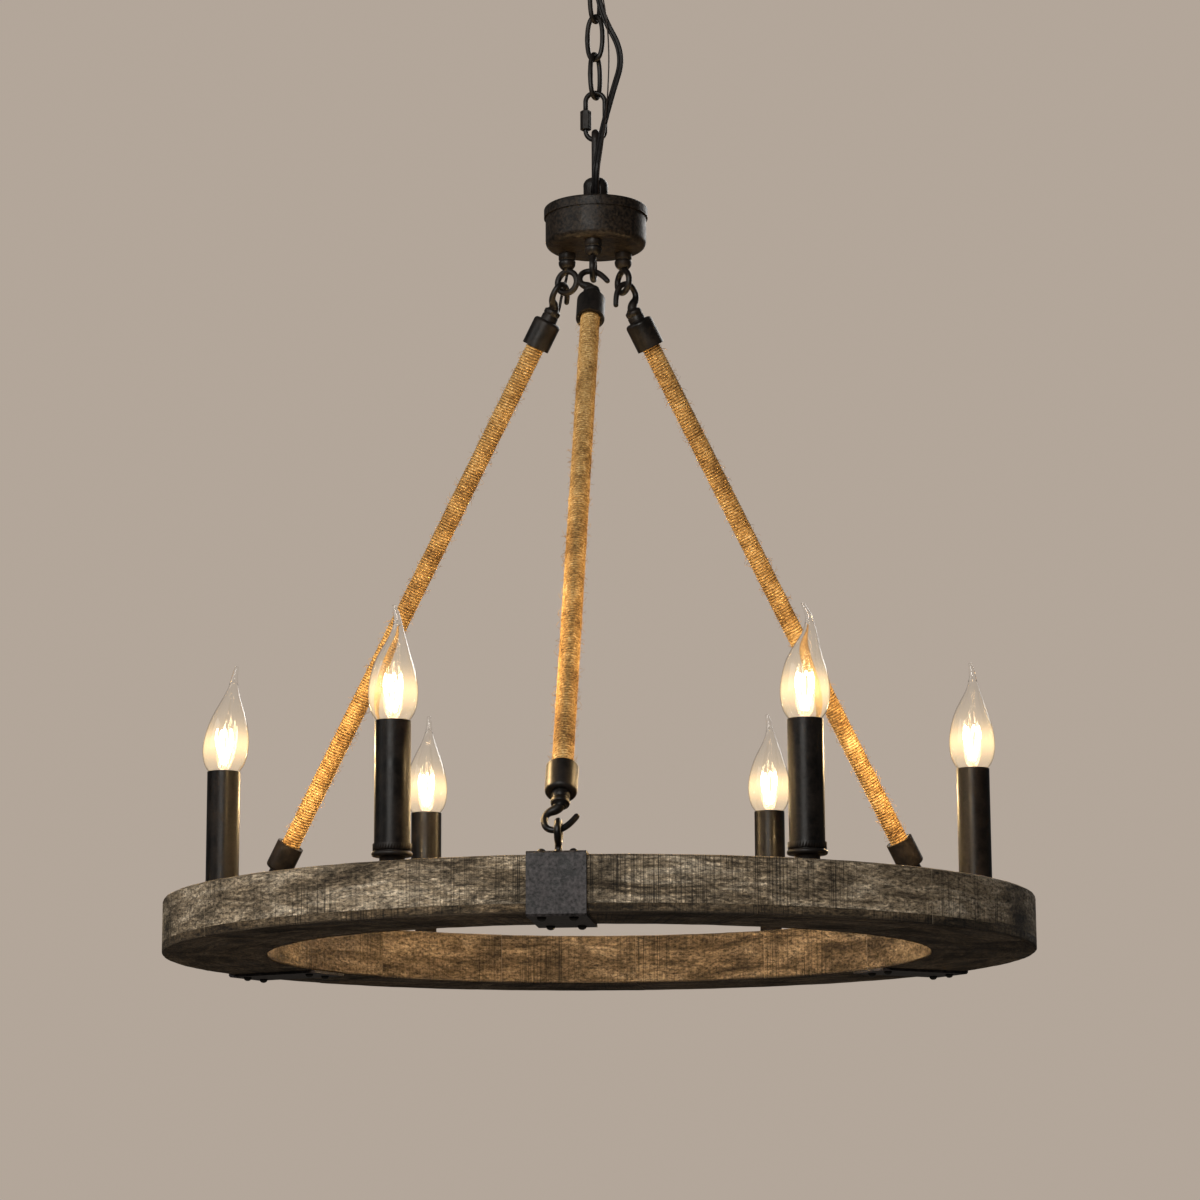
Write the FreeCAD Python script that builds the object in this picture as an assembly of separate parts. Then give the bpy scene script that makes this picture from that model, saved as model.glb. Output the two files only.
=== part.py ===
"""Ring chandelier: a rim of fourteen glued wood staves hangs from three rope-bound arms, a pressed hub and a chain.

The origin is the middle of the mounting bar's upper face, at the ceiling. +Z is up and lengths are millimetres.
The part is laid out from the ceiling down: each level is worked out from the one above it. An azimuth is the
angle about +Z from +X, in degrees.
"""

import FreeCAD, Part
import math
import os

os.makedirs("parts", exist_ok=True)

V = FreeCAD.Vector
UP = V(0, 0, 1)

# Ceiling: mounting bar, nipple, canopy
BAR_LENGTH = 108.0
BAR_WIDTH = 24.0
BAR_THICKNESS = 2.0
BAR_END_WALL = 3.55
SLOT_LENGTH = 12.0
SLOT_WIDTH = 5.0
THREAD_DIAMETER = 9.8
THREAD_CLEARANCE = 0.1
THREAD_BORE = 6.5
NIPPLE_ABOVE_BAR = 8.0
NUT_ACROSS_FLATS = 17.0
NUT_HEIGHT = 3.5
CANOPY_DIAMETER = 130.0
CANOPY_DEPTH = 28.0
CANOPY_SKIRT = 6.0
CANOPY_WALL = 1.2
CANOPY_CEILING_GAP = 0.4
COLLAR_NUT_DIAMETER = 30.0
COLLAR_NUT_HEIGHT = 6.0
NECK_DIAMETER = 16.0
NECK_CLEARANCE = 0.15
NECK_INSIDE_CANOPY = 8.0

# Cast loop that screws into the canopy and into the hub
BOSS_DIAMETER = 20.0
BOSS_HEIGHT = 25.0
BOSS_CROWN = 7.0
LOOP_ROD = 6.4
LOOP_HEIGHT = 42.4
LOOP_BEND = 8.0
LOOP_SUNK = 4.0
WIREWAY_DIAMETER = 7.5
WIREWAY_SLOPE = 0.8
WIREWAY_ABOVE_SEAT = 1.0
CANOPY_LOOP_AZIMUTH = -32.0
HUB_LOOP_AZIMUTH = 90.0
HUB_STEM_LENGTH = 15.0

# Chain
LINK_WIRE = 4.0
LINK_INNER_LENGTH = 33.3
LINK_BEND = 7.0
LINK_AZIMUTHS = (58.0, -32.0, 58.0)
QUICK_LINK_WIRE = 4.0
QUICK_LINK_INNER_LENGTH = 36.4
QUICK_LINK_BEND = 7.85
QUICK_LINK_MOUTH = 5.5
QUICK_LINK_MOUTH_HEIGHT = 11.3
SLEEVE_NUT_DIAMETER = 8.0
SLEEVE_NUT_LENGTH = 16.0
SLEEVE_NUT_ENGAGED = 2.7
SLEEVE_NUT_CLEARANCE = 0.1
WIRE_GAP = 0.3

# Hub
HUB_LID_DIAMETER = 84.5
HUB_LID_RIM = 8.5
HUB_WALL = 1.1
HUB_LID_CLEARANCE = 0.15
HUB_HEIGHT = 34.0
HUB_CORNER = 6.0
LID_CORNER = 1.8
COUPLING_ACROSS_FLATS = 16.0
COUPLING_WIRE_HOLE = 7.0
HUB_EYE_WIRE = 5.0
HUB_EYE_BEND = 9.0
HUB_EYE_DROP = 24.0
HUB_EYE_SHANK = 6.0
HUB_EYE_NUT_DIAMETER = 14.0
HUB_EYE_NUT_HEIGHT = 13.0
HUB_EYE_INNER_NUT = 11.0
HUB_EYE_INNER_NUT_HEIGHT = 5.0
SHANK_CLEARANCE = 0.2

# Arms: rod bound with twine, ferrules and hooks
ROPE_DIAMETER = 15.7
FERRULE_DIAMETER = 22.8
FERRULE_LENGTH = 24.0
FERRULE_END_WALL = 3.5
FERRULE_SHOULDER = 3.0
ROPE_CLEARANCE = 0.3
COLLAR_DIAMETER = 13.6
COLLAR_LENGTH = 9.5
COLLAR_FROM_EYE = 16.5
HOOK_WIRE = 5.0
HOOK_GAP = 0.9
HOOK_NECK_SUNK = 1.5
HOOK_NECK = 3.0
HOOK_BULGE = 11.0
HOOK_HEEL = 1.5
HOOK_TIP_START = 4.8
HOOK_TIP_REACH = 12.0
HOOK_TIP_RETURN = 6.0

# Rim
RIM_OUTER_DIAMETER = 680.0
RIM_WIDTH = 82.0
RIM_HEIGHT = 41.0
RIM_EDGE = 1.5
STAVE_COUNT = 14
FIRST_SEAM = 6.2
RIM_BELOW_HUB_EYES = 493.0
COVER_WIDTH = 30.4
COVER_THICKNESS = 1.6
COVER_CLEARANCE = 0.3
CHANNEL_WIDTH = 20.0
CHANNEL_DEPTH = 12.0
LIGHT_INSET = 44.0

# Straps, through bolts and strap eyes
STRAP_WIDTH = 42.0
STRAP_THICKNESS = 2.0
STRAP_BEND = 1.4
STRAP_FACE_GAP = 0.15
STRAP_OVERHANG = 2.0
BOLT_SHANK = 4.0
BOLT_HEAD_DIAMETER = 6.8
BOLT_HEAD_HEIGHT = 2.8
BOLT_SPACING = 22.4
BOLT_FROM_OUTER_FACE = 10.0
BOLT_FROM_INNER_FACE = 10.0
BOLT_CLEARANCE = 0.15
STRAP_EYE_WIRE = 5.0
STRAP_EYE_BEND = 7.5
STRAP_EYE_RISE = 15.0
STRAP_EYE_FOOT = 9.0
STRAP_EYE_FOOT_HEIGHT = 2.5
STRAP_EYE_DEPTH = 25.0
FRONT_EYE_INSET = 16.0
LEFT_EYE_INSET = 14.0
RIGHT_EYE_INSET = 24.0

# Lights
LIGHT_COUNT = 6
FIRST_LIGHT = 0.4
CUP_NECK_DIAMETER = 18.3
CUP_NECK_HEIGHT = 8.0
CUP_DIAMETER = 29.5
CUP_LOWER_TIER = 3.5
CUP_GROOVE = 0.8
CUP_UPPER_TIER = 4.7
SLEEVE_DIAMETER = 26.0
SLEEVE_WALL = 1.0
SLEEVE_LENGTH = 90.5
SLEEVE_SEAT_DEPTH = 1.5
SLEEVE_CLEARANCE = 0.1
HOLDER_STEM_DIAMETER = 13.0
HOLDER_CONE = 3.0
HOLDER_DIAMETER = 21.6
HOLDER_HEIGHT = 35.0
HOLDER_BELOW_SLEEVE_TOP = 11.0
HOLDER_BORE = 14.8
NIPPLE_IN_RIM = 20.0
CAP_DIAMETER = 13.6
CAP_HEIGHT = 18.0
CAP_BELOW_SLEEVE_TOP = 12.0
CONTACT_DIAMETER = 4.0
CONTACT_HEIGHT = 4.5
GLASS_WALL = 0.9

# Bulb outline: radius at each height above the sleeve's upper edge
GLASS_OUTLINE = (
    (6.6, -12.0), (6.9, -9.0), (8.8, -4.5), (10.5, -1.5), (12.8, 1.2), (15.0, 4.5), (17.0, 10.0), (17.9, 16.0),
    (18.0, 22.0), (17.3, 29.0), (15.6, 37.0), (12.8, 45.5), (9.5, 53.5), (6.3, 61.0), (4.1, 67.5), (2.7, 74.0),
    (2.0, 80.0), (1.4, 84.5),
)
CAVITY_OUTLINE = (
    (5.6, -10.8), (7.6, -4.5), (11.6, 1.8), (15.9, 10.0), (17.0, 19.0), (16.2, 29.0), (11.7, 45.5), (5.2, 61.0),
    (2.6, 68.5), (1.3, 73.0),
)
# How far each bulb's axis leans along X at these heights above the sleeve's upper edge
LEAN_HEIGHTS = (-12.0, 0.0, 30.0, 45.0, 66.0, 76.0, 84.5)
BULB_LEANS = (
    (0.0, 0.0, -0.2, -0.4, 1.6, 1.4, 0.0),
    (0.0, 0.0, 0.0, 0.2, 1.5, 0.8, -0.9),
    (0.0, 0.0, 0.0, 0.4, 1.7, 2.0, 1.9),
    (0.0, 0.0, 2.1, 3.5, 6.2, 7.4, 9.0),
    (0.0, 0.0, 0.2, 0.5, 3.0, 2.6, 0.3),
    (0.0, 0.0, 0.2, 0.4, 4.2, 3.6, -0.7),
)

# Cords, from the canopy's wireway down to the hub's, and the lead into the left arm
CORD_DIAMETER = 4.2
EARTH_WIRE_DIAMETER = 1.2
LEAD_DIAMETER = 2.4
LEAD_HOLE_CLEARANCE = 0.4
CORD_ROUTE = (
    (-0.9, -1.2, -37.0), (-0.9, -13.2, -53.0), (-2.0, -14.5, -74.2), (0.0, -12.0, -94.2), (5.5, -10.5, -128.2),
    (24.0, -8.5, -162.2), (13.5, -9.5, -197.2), (5.6, -11.6, -228.2), (2.5, -14.5, -246.2),
    (-0.9, -16.8, -267.8), (-0.9, -1.2, -288.6),
)
EARTH_ROUTE = (
    (2.0, -1.2, -37.0), (2.0, -13.2, -53.0), (1.0, -17.3, -74.2), (3.0, -15.0, -94.2), (9.5, -13.4, -129.2),
    (11.8, -12.2, -161.2), (10.5, -12.6, -196.2), (7.5, -14.4, -228.2), (5.4, -17.4, -246.2),
    (2.0, -16.8, -267.8), (2.0, -1.2, -288.6),
)
# How many points of a route stand before each cut, less one
CORD_CUT_COUNTS = (3, 4, 5, 6)
LEAD_EXIT = (-22.5, 22.5)
LEAD_DROP = 12.0
LEAD_START = 3.0
LEAD_TURN = (-8.6, 5.2, 3.0)
LEAD_SIDE = (-8.6, 0.0)

# Levels, from the ceiling down
CANOPY_BOTTOM = -CANOPY_CEILING_GAP - CANOPY_DEPTH
CANOPY_BOSS_SEAT = CANOPY_BOTTOM - COLLAR_NUT_HEIGHT
CANOPY_LOOP_WIRE = CANOPY_BOSS_SEAT - BOSS_HEIGHT - LOOP_HEIGHT + LOOP_ROD / 2


class Link:
    """One ring of the chain: the heights of its two bends' wire centres, its wire, bend and azimuth."""

    def __init__(self, upper_wire_centre, upper_wire, wire, inner_length, bend, azimuth):
        self.top = upper_wire_centre + (upper_wire + wire) / 2 + WIRE_GAP
        self.bottom = self.top - inner_length - wire
        self.wire = wire
        self.bend = bend
        self.azimuth = azimuth


CHAIN = []
above, above_wire = CANOPY_LOOP_WIRE, LOOP_ROD
for link_azimuth in LINK_AZIMUTHS:
    CHAIN.append(Link(above, above_wire, LINK_WIRE, LINK_INNER_LENGTH, LINK_BEND, link_azimuth))
    above, above_wire = CHAIN[-1].bottom, LINK_WIRE
QUICK_LINK = Link(above, above_wire, QUICK_LINK_WIRE, QUICK_LINK_INNER_LENGTH, QUICK_LINK_BEND, 0.0)

HUB_LOOP_WIRE = QUICK_LINK.bottom + (QUICK_LINK_WIRE + LOOP_ROD) / 2 + WIRE_GAP
HUB_TOP = HUB_LOOP_WIRE + LOOP_ROD / 2 - LOOP_HEIGHT - BOSS_HEIGHT
HUB_BOTTOM = HUB_TOP - HUB_HEIGHT
HUB_EYE_CENTRE = HUB_BOTTOM - HUB_EYE_DROP
STRAP_EYE_CENTRE = HUB_EYE_CENTRE - RIM_BELOW_HUB_EYES
RIM_TOP = STRAP_EYE_CENTRE - STRAP_EYE_RISE - STRAP_THICKNESS
RIM_BOTTOM = RIM_TOP - RIM_HEIGHT
RIM_OUTER = RIM_OUTER_DIAMETER / 2
RIM_INNER = RIM_OUTER - RIM_WIDTH
LIGHT_RADIUS = RIM_OUTER - LIGHT_INSET
SLOT_SPACING = BAR_LENGTH - SLOT_LENGTH - 2 * BAR_END_WALL
SLEEVE_BOTTOM = RIM_TOP + CUP_NECK_HEIGHT + CUP_LOWER_TIER + CUP_GROOVE + CUP_UPPER_TIER - SLEEVE_SEAT_DEPTH
SLEEVE_TOP = SLEEVE_BOTTOM + SLEEVE_LENGTH
LIGHT_AZIMUTHS = [FIRST_LIGHT + index * 360.0 / LIGHT_COUNT for index in range(LIGHT_COUNT)]


def polar(radius, azimuth, height=0.0):
    """The point at a radius and an azimuth about the Z axis."""
    angle = math.radians(azimuth)
    return V(radius * math.cos(angle), radius * math.sin(angle), height)


def save(name, *solids):
    """Write one node, checking each of its solids."""
    for solid in solids:
        if not solid.isValid() or solid.Volume <= 0:
            raise ValueError(f"{name} has a bad solid")
    shape = solids[0] if len(solids) == 1 else Part.makeCompound(list(solids))
    shape.exportStep(f"parts/{name}.step")
    print(f"{name}: {len(solids)} solid(s), {sum(s.Volume for s in solids) / 1000:.2f} cm3")


def moved(shape, offset):
    """A copy of a shape, shifted."""
    copy = shape.copy()
    copy.translate(offset)
    return copy


def turned_about_z(shape, azimuth):
    """A copy of a shape, turned about the Z axis."""
    copy = shape.copy()
    copy.rotate(V(0, 0, 0), UP, azimuth)
    return copy


def cylinder(diameter, base, top, centre=V(0, 0, 0)):
    """An upright cylinder between two heights."""
    return Part.makeCylinder(diameter / 2, top - base, V(centre.x, centre.y, base))


def spun(outline):
    """The solid that an outline of (radius, height) points, with arcs given as their middle point, sweeps about Z.

    A three-value point (radius, height, "arc") is the middle of an arc between its neighbours.
    """
    edges = []
    index = 0
    points = list(outline) + [outline[0]]
    while index < len(points) - 1:
        start = V(points[index][0], 0, points[index][1])
        if len(points[index + 1]) == 3:
            middle = V(points[index + 1][0], 0, points[index + 1][1])
            end = V(points[index + 2][0], 0, points[index + 2][1])
            edges.append(Part.Arc(start, middle, end).toShape())
            index += 2
        else:
            end = V(points[index + 1][0], 0, points[index + 1][1])
            edges.append(Part.LineSegment(start, end).toShape())
            index += 1
    return Part.Face(Part.Wire(edges)).revolve(V(0, 0, 0), UP, 360)


def hexagon_nut(across_flats, height, bore, base):
    """A hexagonal nut with its lower face at a height."""
    corner = across_flats / math.sqrt(3)
    corners = [polar(corner, 60 * side, base) for side in range(7)]
    body = Part.Face(Part.makePolygon(corners)).extrude(UP * height)
    return body.cut(cylinder(bore, base - 1, base + height + 1))


def corner_arc(before, corner, after, share=0.45):
    """The tangent arc that rounds a corner, as (start, middle, end, radius)."""
    first = before - corner
    second = after - corner
    reach = share * min(first.Length, second.Length)
    start = corner + first.normalize() * reach
    end = corner + second.normalize() * reach
    half_turn = (math.pi - first.getAngle(second)) / 2
    radius = reach / math.tan(half_turn)
    inward = (first + second).normalize()
    middle = corner + inward * (radius / math.cos(half_turn) - radius)
    return start, middle, end, radius


def rod(points, diameter, share=0.45):
    """A round rod along straight runs joined by tangent arcs, and the smallest arc's radius."""
    points = [V(*point) for point in points]
    edges = []
    radii = []
    last = points[0]
    for before, corner, after in zip(points, points[1:], points[2:]):
        start, middle, end, radius = corner_arc(before, corner, after, share)
        edges.append(Part.LineSegment(last, start).toShape())
        edges.append(Part.Arc(start, middle, end).toShape())
        radii.append(radius)
        last = end
    edges.append(Part.LineSegment(last, points[-1]).toShape())
    path = Part.Wire(edges)
    section = Part.Wire([Part.Circle(points[0], points[1] - points[0], diameter / 2).toShape()])
    solid = path.makePipeShell([section], True, False)
    drift = abs(solid.Volume / (math.pi * diameter**2 / 4 * path.Length) - 1)
    if drift > 0.01:
        raise ValueError(f"a rod's volume is off by {drift:.3f}")
    return solid, min(radii)


def oval_ring(wire, bend, top, bottom):
    """A closed ring of round wire in the XZ plane: two half circles joined by straight legs.

    top and bottom are the heights of the wire's centre at the two bends.
    """
    upper = top - bend
    lower = bottom + bend
    edges = [
        Part.LineSegment(V(bend, 0, lower), V(bend, 0, upper)).toShape(),
        Part.Arc(V(bend, 0, upper), V(0, 0, top), V(-bend, 0, upper)).toShape(),
        Part.LineSegment(V(-bend, 0, upper), V(-bend, 0, lower)).toShape(),
        Part.Arc(V(-bend, 0, lower), V(0, 0, bottom), V(bend, 0, lower)).toShape(),
    ]
    section = Part.Wire([Part.Circle(V(bend, 0, lower), UP, wire / 2).toShape()])
    return Part.Wire(edges).makePipeShell([section], True, False)


def loop_fitting(loop_azimuth, wireway_sign, neck_diameter, neck_length, neck_bore, bore_depth):
    """A cast loop on a boss whose seat is at height 0, with the neck below it and the wireway out of its side."""
    radius = BOSS_DIAMETER / 2
    crown_start = BOSS_HEIGHT - BOSS_CROWN
    crown_radius = radius - BOSS_CROWN / 2
    boss = spun(
        (
            (0, -neck_length), (neck_diameter / 2, -neck_length), (neck_diameter / 2, 0), (radius, 0),
            (radius, crown_start), (radius * 0.93, crown_start + BOSS_CROWN * 0.62, "arc"),
            (crown_radius, BOSS_HEIGHT), (0, BOSS_HEIGHT),
        )
    )
    top = BOSS_HEIGHT + LOOP_HEIGHT - LOOP_ROD / 2
    loop = turned_about_z(oval_ring(LOOP_ROD, LOOP_BEND, top, BOSS_HEIGHT - LOOP_SUNK), loop_azimuth)
    fitting = boss.fuse(loop)
    fitting = fitting.cut(cylinder(neck_bore, -neck_length - 1, -neck_length + bore_depth))
    fitting = fitting.cut(cylinder(THREAD_BORE, -neck_length - 1, WIREWAY_ABOVE_SEAT + WIREWAY_DIAMETER / 2))
    out = math.sqrt(1 - WIREWAY_SLOPE**2)
    direction = V(0, wireway_sign * out, WIREWAY_SLOPE)
    wireway = Part.makeCylinder(WIREWAY_DIAMETER / 2, BOSS_HEIGHT, V(0, 0, WIREWAY_ABOVE_SEAT), direction)
    return fitting.cut(wireway)


def eye_ring(wire, bend, centre, in_radial_plane, azimuth):
    """A ring of round wire whose plane holds the Z axis, or stands square to the radius at its azimuth."""
    axis = polar(1, azimuth + 90) if in_radial_plane else polar(1, azimuth)
    return Part.makeTorus(bend, wire / 2, centre, axis)


class Arm:
    """Where one arm runs: its hub eye, its strap eye, the two points it pulls on and its own directions."""

    def __init__(self, name, azimuth, hub_eye_radius, strap_eye_radius, radial_eyes, bulge_sign):
        self.name = name
        self.azimuth = azimuth
        self.radial_eyes = radial_eyes
        self.hub_eye = polar(hub_eye_radius, azimuth, HUB_EYE_CENTRE)
        self.strap_eye = polar(strap_eye_radius, azimuth, STRAP_EYE_CENTRE)
        if radial_eyes:
            along = (self.strap_eye - self.hub_eye).normalize()
            self.top = self.hub_eye + along * HUB_EYE_BEND
            self.bottom = self.strap_eye - along * STRAP_EYE_BEND
        else:
            self.top = self.hub_eye - UP * HUB_EYE_BEND
            self.bottom = self.strap_eye + UP * STRAP_EYE_BEND
        self.along = (self.bottom - self.top).normalize()
        self.length = (self.bottom - self.top).Length
        sideways = polar(1, azimuth + 90)
        self.bulge = sideways * bulge_sign if radial_eyes else sideways.cross(self.along) * bulge_sign

    def placement(self, lower):
        """The frame of one end: local Z runs into the arm from the eye, local X is the hook's bulge."""
        origin = self.bottom if lower else self.top
        z_axis = self.along * -1 if lower else self.along
        y_axis = z_axis.cross(self.bulge)
        matrix = FreeCAD.Matrix(
            self.bulge.x, y_axis.x, z_axis.x, origin.x,
            self.bulge.y, y_axis.y, z_axis.y, origin.y,
            self.bulge.z, y_axis.z, z_axis.z, origin.z,
            0, 0, 0, 1,
        )
        return FreeCAD.Placement(matrix)

    def placed(self, solid, lower=False):
        """A solid of the end's own frame, put in its place."""
        copy = solid.copy()
        copy.Placement = self.placement(lower).multiply(copy.Placement)
        return copy


ARMS = (
    Arm("front", -94.7, 25.8, RIM_OUTER - FRONT_EYE_INSET, True, -1),
    Arm("left", 150.0, 27.3, RIM_OUTER - LEFT_EYE_INSET, True, 1),
    Arm("right", 31.0, 25.8, RIM_OUTER - RIGHT_EYE_INSET, False, -1),
)
LEFT_ARM = ARMS[1]


def build_ceiling():
    """Bar, nipple and its nuts, canopy, collar nut and the canopy's loop."""
    bar = Part.makeBox(BAR_LENGTH, BAR_WIDTH, BAR_THICKNESS, V(-BAR_LENGTH / 2, -BAR_WIDTH / 2, -BAR_THICKNESS))
    for side in (-1, 1):
        middle = V(side * SLOT_SPACING / 2, 0, 0)
        half_run = (SLOT_LENGTH - SLOT_WIDTH) / 2
        slot = Part.makeBox(
            2 * half_run, SLOT_WIDTH, 3 * BAR_THICKNESS, middle + V(-half_run, -SLOT_WIDTH / 2, -2 * BAR_THICKNESS)
        )
        for end in (-1, 1):
            tip = middle + V(end * half_run, 0, 0)
            slot = slot.fuse(cylinder(SLOT_WIDTH, -2 * BAR_THICKNESS, BAR_THICKNESS, tip))
        bar = bar.cut(slot.removeSplitter())
    thread_hole = THREAD_DIAMETER + 2 * THREAD_CLEARANCE
    bar = bar.cut(cylinder(thread_hole, -2 * BAR_THICKNESS, BAR_THICKNESS))
    save("mounting_bar", bar)

    neck_top = CANOPY_BOTTOM + NECK_INSIDE_CANOPY
    neck_length = neck_top - CANOPY_BOSS_SEAT
    nipple_bottom = neck_top - NECK_INSIDE_CANOPY
    nipple = cylinder(THREAD_DIAMETER, nipple_bottom, NIPPLE_ABOVE_BAR)
    save("threaded_nipple", nipple.cut(cylinder(THREAD_BORE, nipple_bottom - 1, NIPPLE_ABOVE_BAR + 1)))
    save(
        "nipple_locknuts",
        hexagon_nut(NUT_ACROSS_FLATS, NUT_HEIGHT, thread_hole, 0),
        hexagon_nut(NUT_ACROSS_FLATS, NUT_HEIGHT, thread_hole, -BAR_THICKNESS - NUT_HEIGHT),
    )

    outer = CANOPY_DIAMETER / 2
    inner = outer - CANOPY_WALL
    hole = NECK_DIAMETER / 2 + NECK_CLEARANCE
    rim = -CANOPY_CEILING_GAP
    flat = COLLAR_NUT_DIAMETER / 2
    skirt = rim - CANOPY_SKIRT
    shoulder = outer * 0.78
    belly = CANOPY_BOTTOM + CANOPY_DEPTH * 0.25
    canopy = spun(
        (
            (outer, rim), (outer, skirt), (shoulder, belly, "arc"), (flat, CANOPY_BOTTOM), (hole, CANOPY_BOTTOM),
            (hole, CANOPY_BOTTOM + CANOPY_WALL), (flat, CANOPY_BOTTOM + CANOPY_WALL),
            (shoulder - CANOPY_WALL * 0.7, belly + CANOPY_WALL * 0.7, "arc"), (inner, skirt), (inner, rim),
        )
    )
    save("canopy", canopy)

    collar = spun(
        (
            (hole, CANOPY_BOTTOM), (flat, CANOPY_BOTTOM), (flat, CANOPY_BOTTOM - COLLAR_NUT_HEIGHT + 1.5),
            (flat - 1.5, CANOPY_BOSS_SEAT), (hole, CANOPY_BOSS_SEAT),
        )
    )
    save("canopy_collar_nut", collar)

    fitting = loop_fitting(-CANOPY_LOOP_AZIMUTH, 1, NECK_DIAMETER, neck_length, thread_hole, NECK_INSIDE_CANOPY)
    fitting.rotate(V(0, 0, 0), V(1, 0, 0), 180)
    fitting.translate(UP * CANOPY_BOSS_SEAT)
    save("canopy_loop", fitting)


def build_chain():
    """Three welded links, the quick link with its mouth, and the sleeve nut that closes the mouth."""
    for number, link in enumerate(CHAIN, start=1):
        ring = oval_ring(link.wire, link.bend, link.top, link.bottom)
        save(f"chain_link_{number}", turned_about_z(ring, link.azimuth))

    ring = oval_ring(QUICK_LINK.wire, QUICK_LINK.bend, QUICK_LINK.top, QUICK_LINK.bottom)
    leg = V(-QUICK_LINK_BEND, 0, 0)
    mouth = QUICK_LINK.bottom + QUICK_LINK_MOUTH_HEIGHT
    save("quick_link", ring.cut(cylinder(2 * QUICK_LINK_WIRE, mouth, mouth + QUICK_LINK_MOUTH, leg)))

    base = mouth - SLEEVE_NUT_ENGAGED
    bore = QUICK_LINK_WIRE + 2 * SLEEVE_NUT_CLEARANCE
    sleeve = moved(hexagon_nut(SLEEVE_NUT_DIAMETER, SLEEVE_NUT_LENGTH, bore, base), leg)
    save("quick_link_sleeve", sleeve)


def build_hub():
    """Loop with its stem, lid, cup, coupling nut, three eyes and their nuts."""
    stem_hole = THREAD_DIAMETER + 2 * THREAD_CLEARANCE
    fitting = loop_fitting(HUB_LOOP_AZIMUTH, -1, THREAD_DIAMETER, HUB_STEM_LENGTH, THREAD_BORE, HUB_STEM_LENGTH)
    save("hub_loop", moved(fitting, UP * HUB_TOP))

    lid = HUB_LID_DIAMETER / 2
    under = HUB_TOP - HUB_WALL
    rim = HUB_TOP - HUB_LID_RIM
    soft = LID_CORNER * 0.29
    save(
        "hub_lid",
        spun(
            (
                (stem_hole / 2, HUB_TOP), (lid - LID_CORNER, HUB_TOP), (lid - soft, HUB_TOP - soft, "arc"),
                (lid, HUB_TOP - LID_CORNER), (lid, rim), (lid - HUB_WALL, rim), (lid - HUB_WALL, under),
                (stem_hole / 2, under),
            )
        ),
    )

    cup = lid - HUB_WALL - HUB_LID_CLEARANCE
    floor = HUB_BOTTOM + HUB_WALL
    inner = cup - HUB_WALL
    inner_corner = HUB_CORNER - HUB_WALL
    bend = 1 - math.sqrt(0.5)
    body = spun(
        (
            (0, HUB_BOTTOM), (cup - HUB_CORNER, HUB_BOTTOM),
            (cup - HUB_CORNER * bend, HUB_BOTTOM + HUB_CORNER * bend, "arc"), (cup, HUB_BOTTOM + HUB_CORNER),
            (cup, under), (inner, under), (inner, floor + inner_corner),
            (inner - inner_corner * bend, floor + inner_corner * bend, "arc"), (inner - inner_corner, floor),
            (0, floor),
        )
    )
    shank_hole = HUB_EYE_SHANK + 2 * SHANK_CLEARANCE
    for arm in ARMS:
        body = body.cut(cylinder(shank_hole, HUB_BOTTOM - 1, floor + 1, arm.hub_eye))
    lead_hole = LEAD_DIAMETER + 2 * LEAD_HOLE_CLEARANCE
    body = body.cut(cylinder(lead_hole, HUB_BOTTOM - 1, floor + 1, V(*LEAD_EXIT, 0)))
    save("hub_cup", body)

    coupling = hexagon_nut(COUPLING_ACROSS_FLATS, under - floor, stem_hole, floor)
    wire_hole = Part.makeCylinder(
        COUPLING_WIRE_HOLE / 2, COUPLING_ACROSS_FLATS, V(0, 0, floor + COUPLING_WIRE_HOLE), V(0, 1, 0)
    )
    save("hub_coupling", coupling.cut(wire_hole))

    eyes = []
    nuts = []
    radius = HUB_EYE_NUT_DIAMETER / 2
    for arm in ARMS:
        centre = arm.hub_eye
        ring = eye_ring(HUB_EYE_WIRE, HUB_EYE_BEND, centre, arm.radial_eyes, arm.azimuth)
        shank_base = HUB_EYE_CENTRE + HUB_EYE_BEND
        shank_top = floor + HUB_EYE_INNER_NUT_HEIGHT + 1
        eyes.append(ring.fuse(cylinder(HUB_EYE_SHANK, shank_base, shank_top, centre)))
        height = HUB_EYE_NUT_HEIGHT
        hole = shank_hole / 2
        collar = spun(
            (
                (hole, HUB_BOTTOM), (radius, HUB_BOTTOM), (radius, HUB_BOTTOM - 0.38 * height),
                (0.86 * radius, HUB_BOTTOM - 0.46 * height), (radius, HUB_BOTTOM - 0.54 * height),
                (0.94 * radius, HUB_BOTTOM - 0.78 * height, "arc"), (0.62 * radius, HUB_BOTTOM - height),
                (hole, HUB_BOTTOM - height),
            )
        )
        nuts.append(moved(collar, V(centre.x, centre.y, 0)).cut(ring))
        inner_nut = hexagon_nut(HUB_EYE_INNER_NUT, HUB_EYE_INNER_NUT_HEIGHT, shank_hole, floor)
        nuts.append(moved(inner_nut, V(centre.x, centre.y, 0)))
    save("hub_eyes", *eyes)
    save("hub_eye_nuts", *nuts)


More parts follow.
